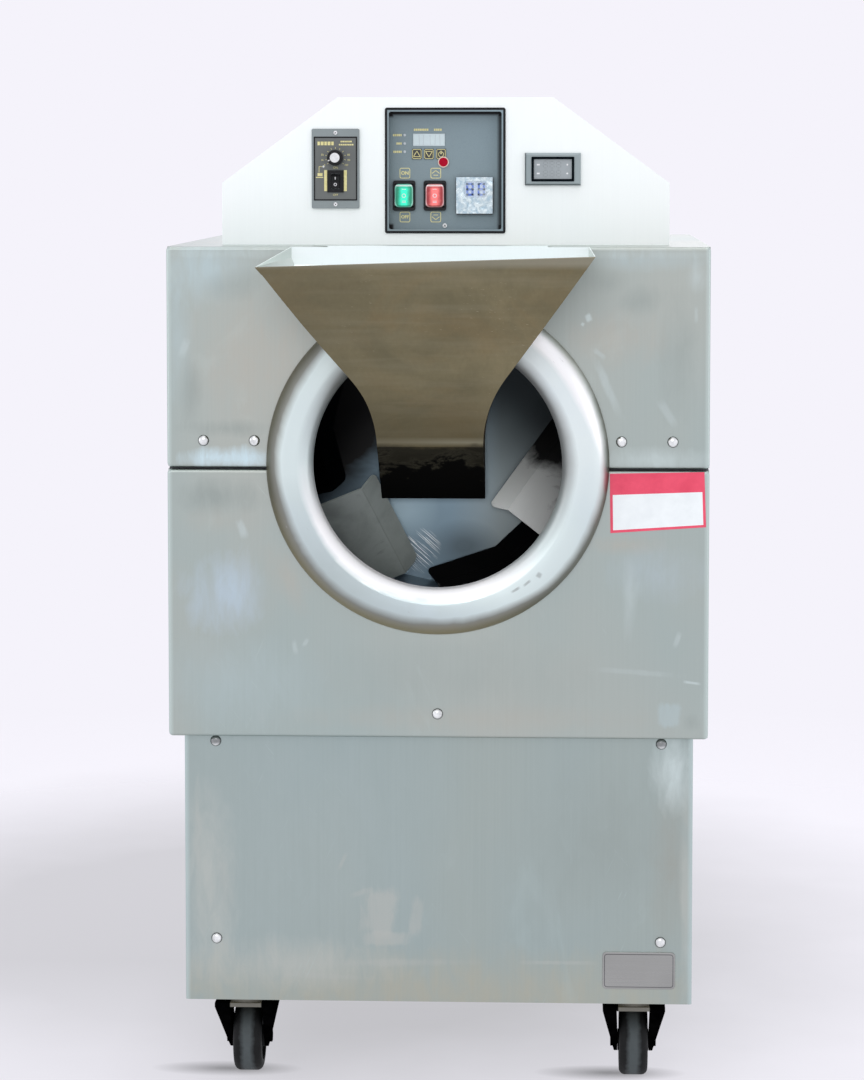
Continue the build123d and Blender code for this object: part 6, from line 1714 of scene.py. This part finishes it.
# %% Two-tone tag
TAG_CORNERS = (
    (216.6 * MM, 720.5 * MM), (335.9 * MM, 728.5 * MM), (333.4 * MM, 797.6 * MM), (215.5 * MM, 795.2 * MM)
)
TAG_SIDE = 0.028
TAG_FOOT = 0.045
TAG_HEAD = 0.36
TAG_T = 0.35 * MM
tag_white = grained("tag_white", (0.82, 0.88, 0.87), (0.90, 0.96, 0.945), (0.35, 0.5), 500, PRINTED, broad=40)
tag_red = grained("tag_red", (0.76, 0.055, 0.115), (0.88, 0.085, 0.155), (0.35, 0.5), 500, PRINTED, broad=40)


def tag_point(u, v):
    """A place on the tag, from its lower left corner."""
    low_left, low_right, high_right, high_left = [Vector(corner) for corner in TAG_CORNERS]
    return low_left.lerp(low_right, u).lerp(high_left.lerp(high_right, u), v)


def tag_sheet(u0, u1, v0, v1, y, thick):
    """Part of the tag as a thin sheet with its corners on the slanted outline."""
    piece = round_plate(0, y, 0, 1, 1, 0, thick)
    for vertex in piece.data.vertices:
        u = u0 if vertex.co.x < 0 else u1
        v = v0 if vertex.co.z < 0 else v1
        vertex.co.x, vertex.co.z = tag_point(u, v)
    return piece


backing = tag_sheet(0, 1, 0, 1, FRONT, TAG_T)
join([backing], "tag_backing", tag_red, "machine")
field = tag_sheet(TAG_SIDE, 1 - TAG_SIDE, TAG_FOOT, 1 - TAG_HEAD, FRONT - TAG_T, 0.08 * MM)
join([field], "tag_field", tag_white, "machine")
print("tag done")

# %% [markdown]
# ## Floor and light
# A pale floor, with painted soft grey shadow around the machine and painted shadows under the front wheels,
# fades out into a pale background. One wide soft light stands behind the camera, one above, one at each side
# and one behind the machine, all large, so that the brushed steel shows soft bright areas and no hard spots.
# A narrow one looks into the mouth.

# %% Floor
BACKDROP = (0.913, 0.896, 0.965)
SHADOW_POOL = (0.585, 0.58, 0.61)
WHEEL_SHADOW = (0.17, 0.17, 0.175)
FLOOR_R = 3.0


def floor_finish():
    """Pale floor with a soft painted grey shadow around the machine and painted shadows under the front
    wheels, fading out into the backdrop.
    """
    f = Finish("floor_pale")
    around = f.distance((-0.25, 0.65, 0), (0.9, 0.7, 0))
    speckle = f.span(f.cloud(3.0, 3.0), -0.04, 0.04, 0.3, 0.7)
    # Painted shadow: soft grey around the machine
    shadow_pool = f.ramp(f.plus(around, speckle), SHADOW_POOL, BACKDROP, (0.45, 1.0))
    # The painted shadow is weaker at the front left
    nearer = f.span(f.along("Y"), 0.45, 0.0, -0.1, 0.4)
    lighter = f.times(nearer, f.span(f.along("X"), 1.0, 0.0, -0.45, -0.2))
    shadow_pool = f.blend(lighter, shadow_pool, BACKDROP)
    # Painted shadows under the front wheels
    for side in ("left", "right"):
        wheel = middle("caster_wheel_front_" + side)
        under = f.distance((wheel.x - 0.03, wheel.y, 0), (1 / 0.10, 1 / 0.036, 0))
        shadow_pool = f.tint(shadow_pool, WHEEL_SHADOW, under, 0.8, 0.0, 0.1, 1.0)
    fade = f.span(f.distance((0, 0, 0), (1, 1, 0)), 1.0, 0.0, 1.5, 2.7)
    return f.done((0.13, 0.13, 0.135), 0.8, glow=shadow_pool, glow_strength=0.86, shine=0.1, alpha=fade)


start_fresh()
bpy.ops.mesh.primitive_circle_add(vertices=96, radius=FLOOR_R, fill_type="NGON", location=(0, 0, 0))
floor = settle(bpy.context.object, "floor", floor_finish())
print("floor done")

# %% Light
AIM = (0, 0, 0.75)
SPOT_AT = (0.126, FRONT - 3.0, 1.074)
SPOT_AIM = (0.005, FRONT + 0.1, 0.738)
SPOT_ANGLE = 4.4
SPOT_WATTS = 190
world = bpy.data.worlds.new("studio")
bpy.context.scene.world = world
world.use_nodes = True
sky = world.node_tree
sky.nodes["Background"].inputs["Color"].default_value = (*BACKDROP, 1)
sky.nodes["Background"].inputs["Strength"].default_value = 1.0
bpy.context.scene.view_settings.view_transform = "Standard"


def lamp(name, kind, at, aim, watts):
    """A light that looks at a place."""
    start_fresh()
    bpy.ops.object.light_add(type=kind, location=at)
    light = bpy.context.object
    light.name = name
    light.data.energy = watts
    light.rotation_euler = (Vector(aim) - Vector(at)).to_track_quat("-Z", "Y").to_euler()
    return light.data


def softbox(name, at, width, height, watts):
    """A large area light that looks at the machine."""
    light = lamp(name, "AREA", at, AIM, watts)
    light.shape = "RECTANGLE"
    light.size = width
    light.size_y = height


softbox("front_box", (-0.6, -4.6, 2.9), 2.4, 1.8, 22)
softbox("top_box", (0.2, -0.6, 3.6), 2.6, 2.2, 16)
softbox("left_box", (-3.4, -1.6, 1.6), 1.6, 2.2, 8)
softbox("right_box", (3.4, -1.2, 1.4), 1.6, 2.2, 6)
softbox("rear_box", (0.4, 3.8, 2.6), 2.4, 1.8, 12)

mouth_light = lamp("mouth_spot", "SPOT", SPOT_AT, SPOT_AIM, SPOT_WATTS)
mouth_light.spot_size = radians(SPOT_ANGLE)
mouth_light.spot_blend = 0.5
mouth_light.shadow_soft_size = 0.07
print("lights done")
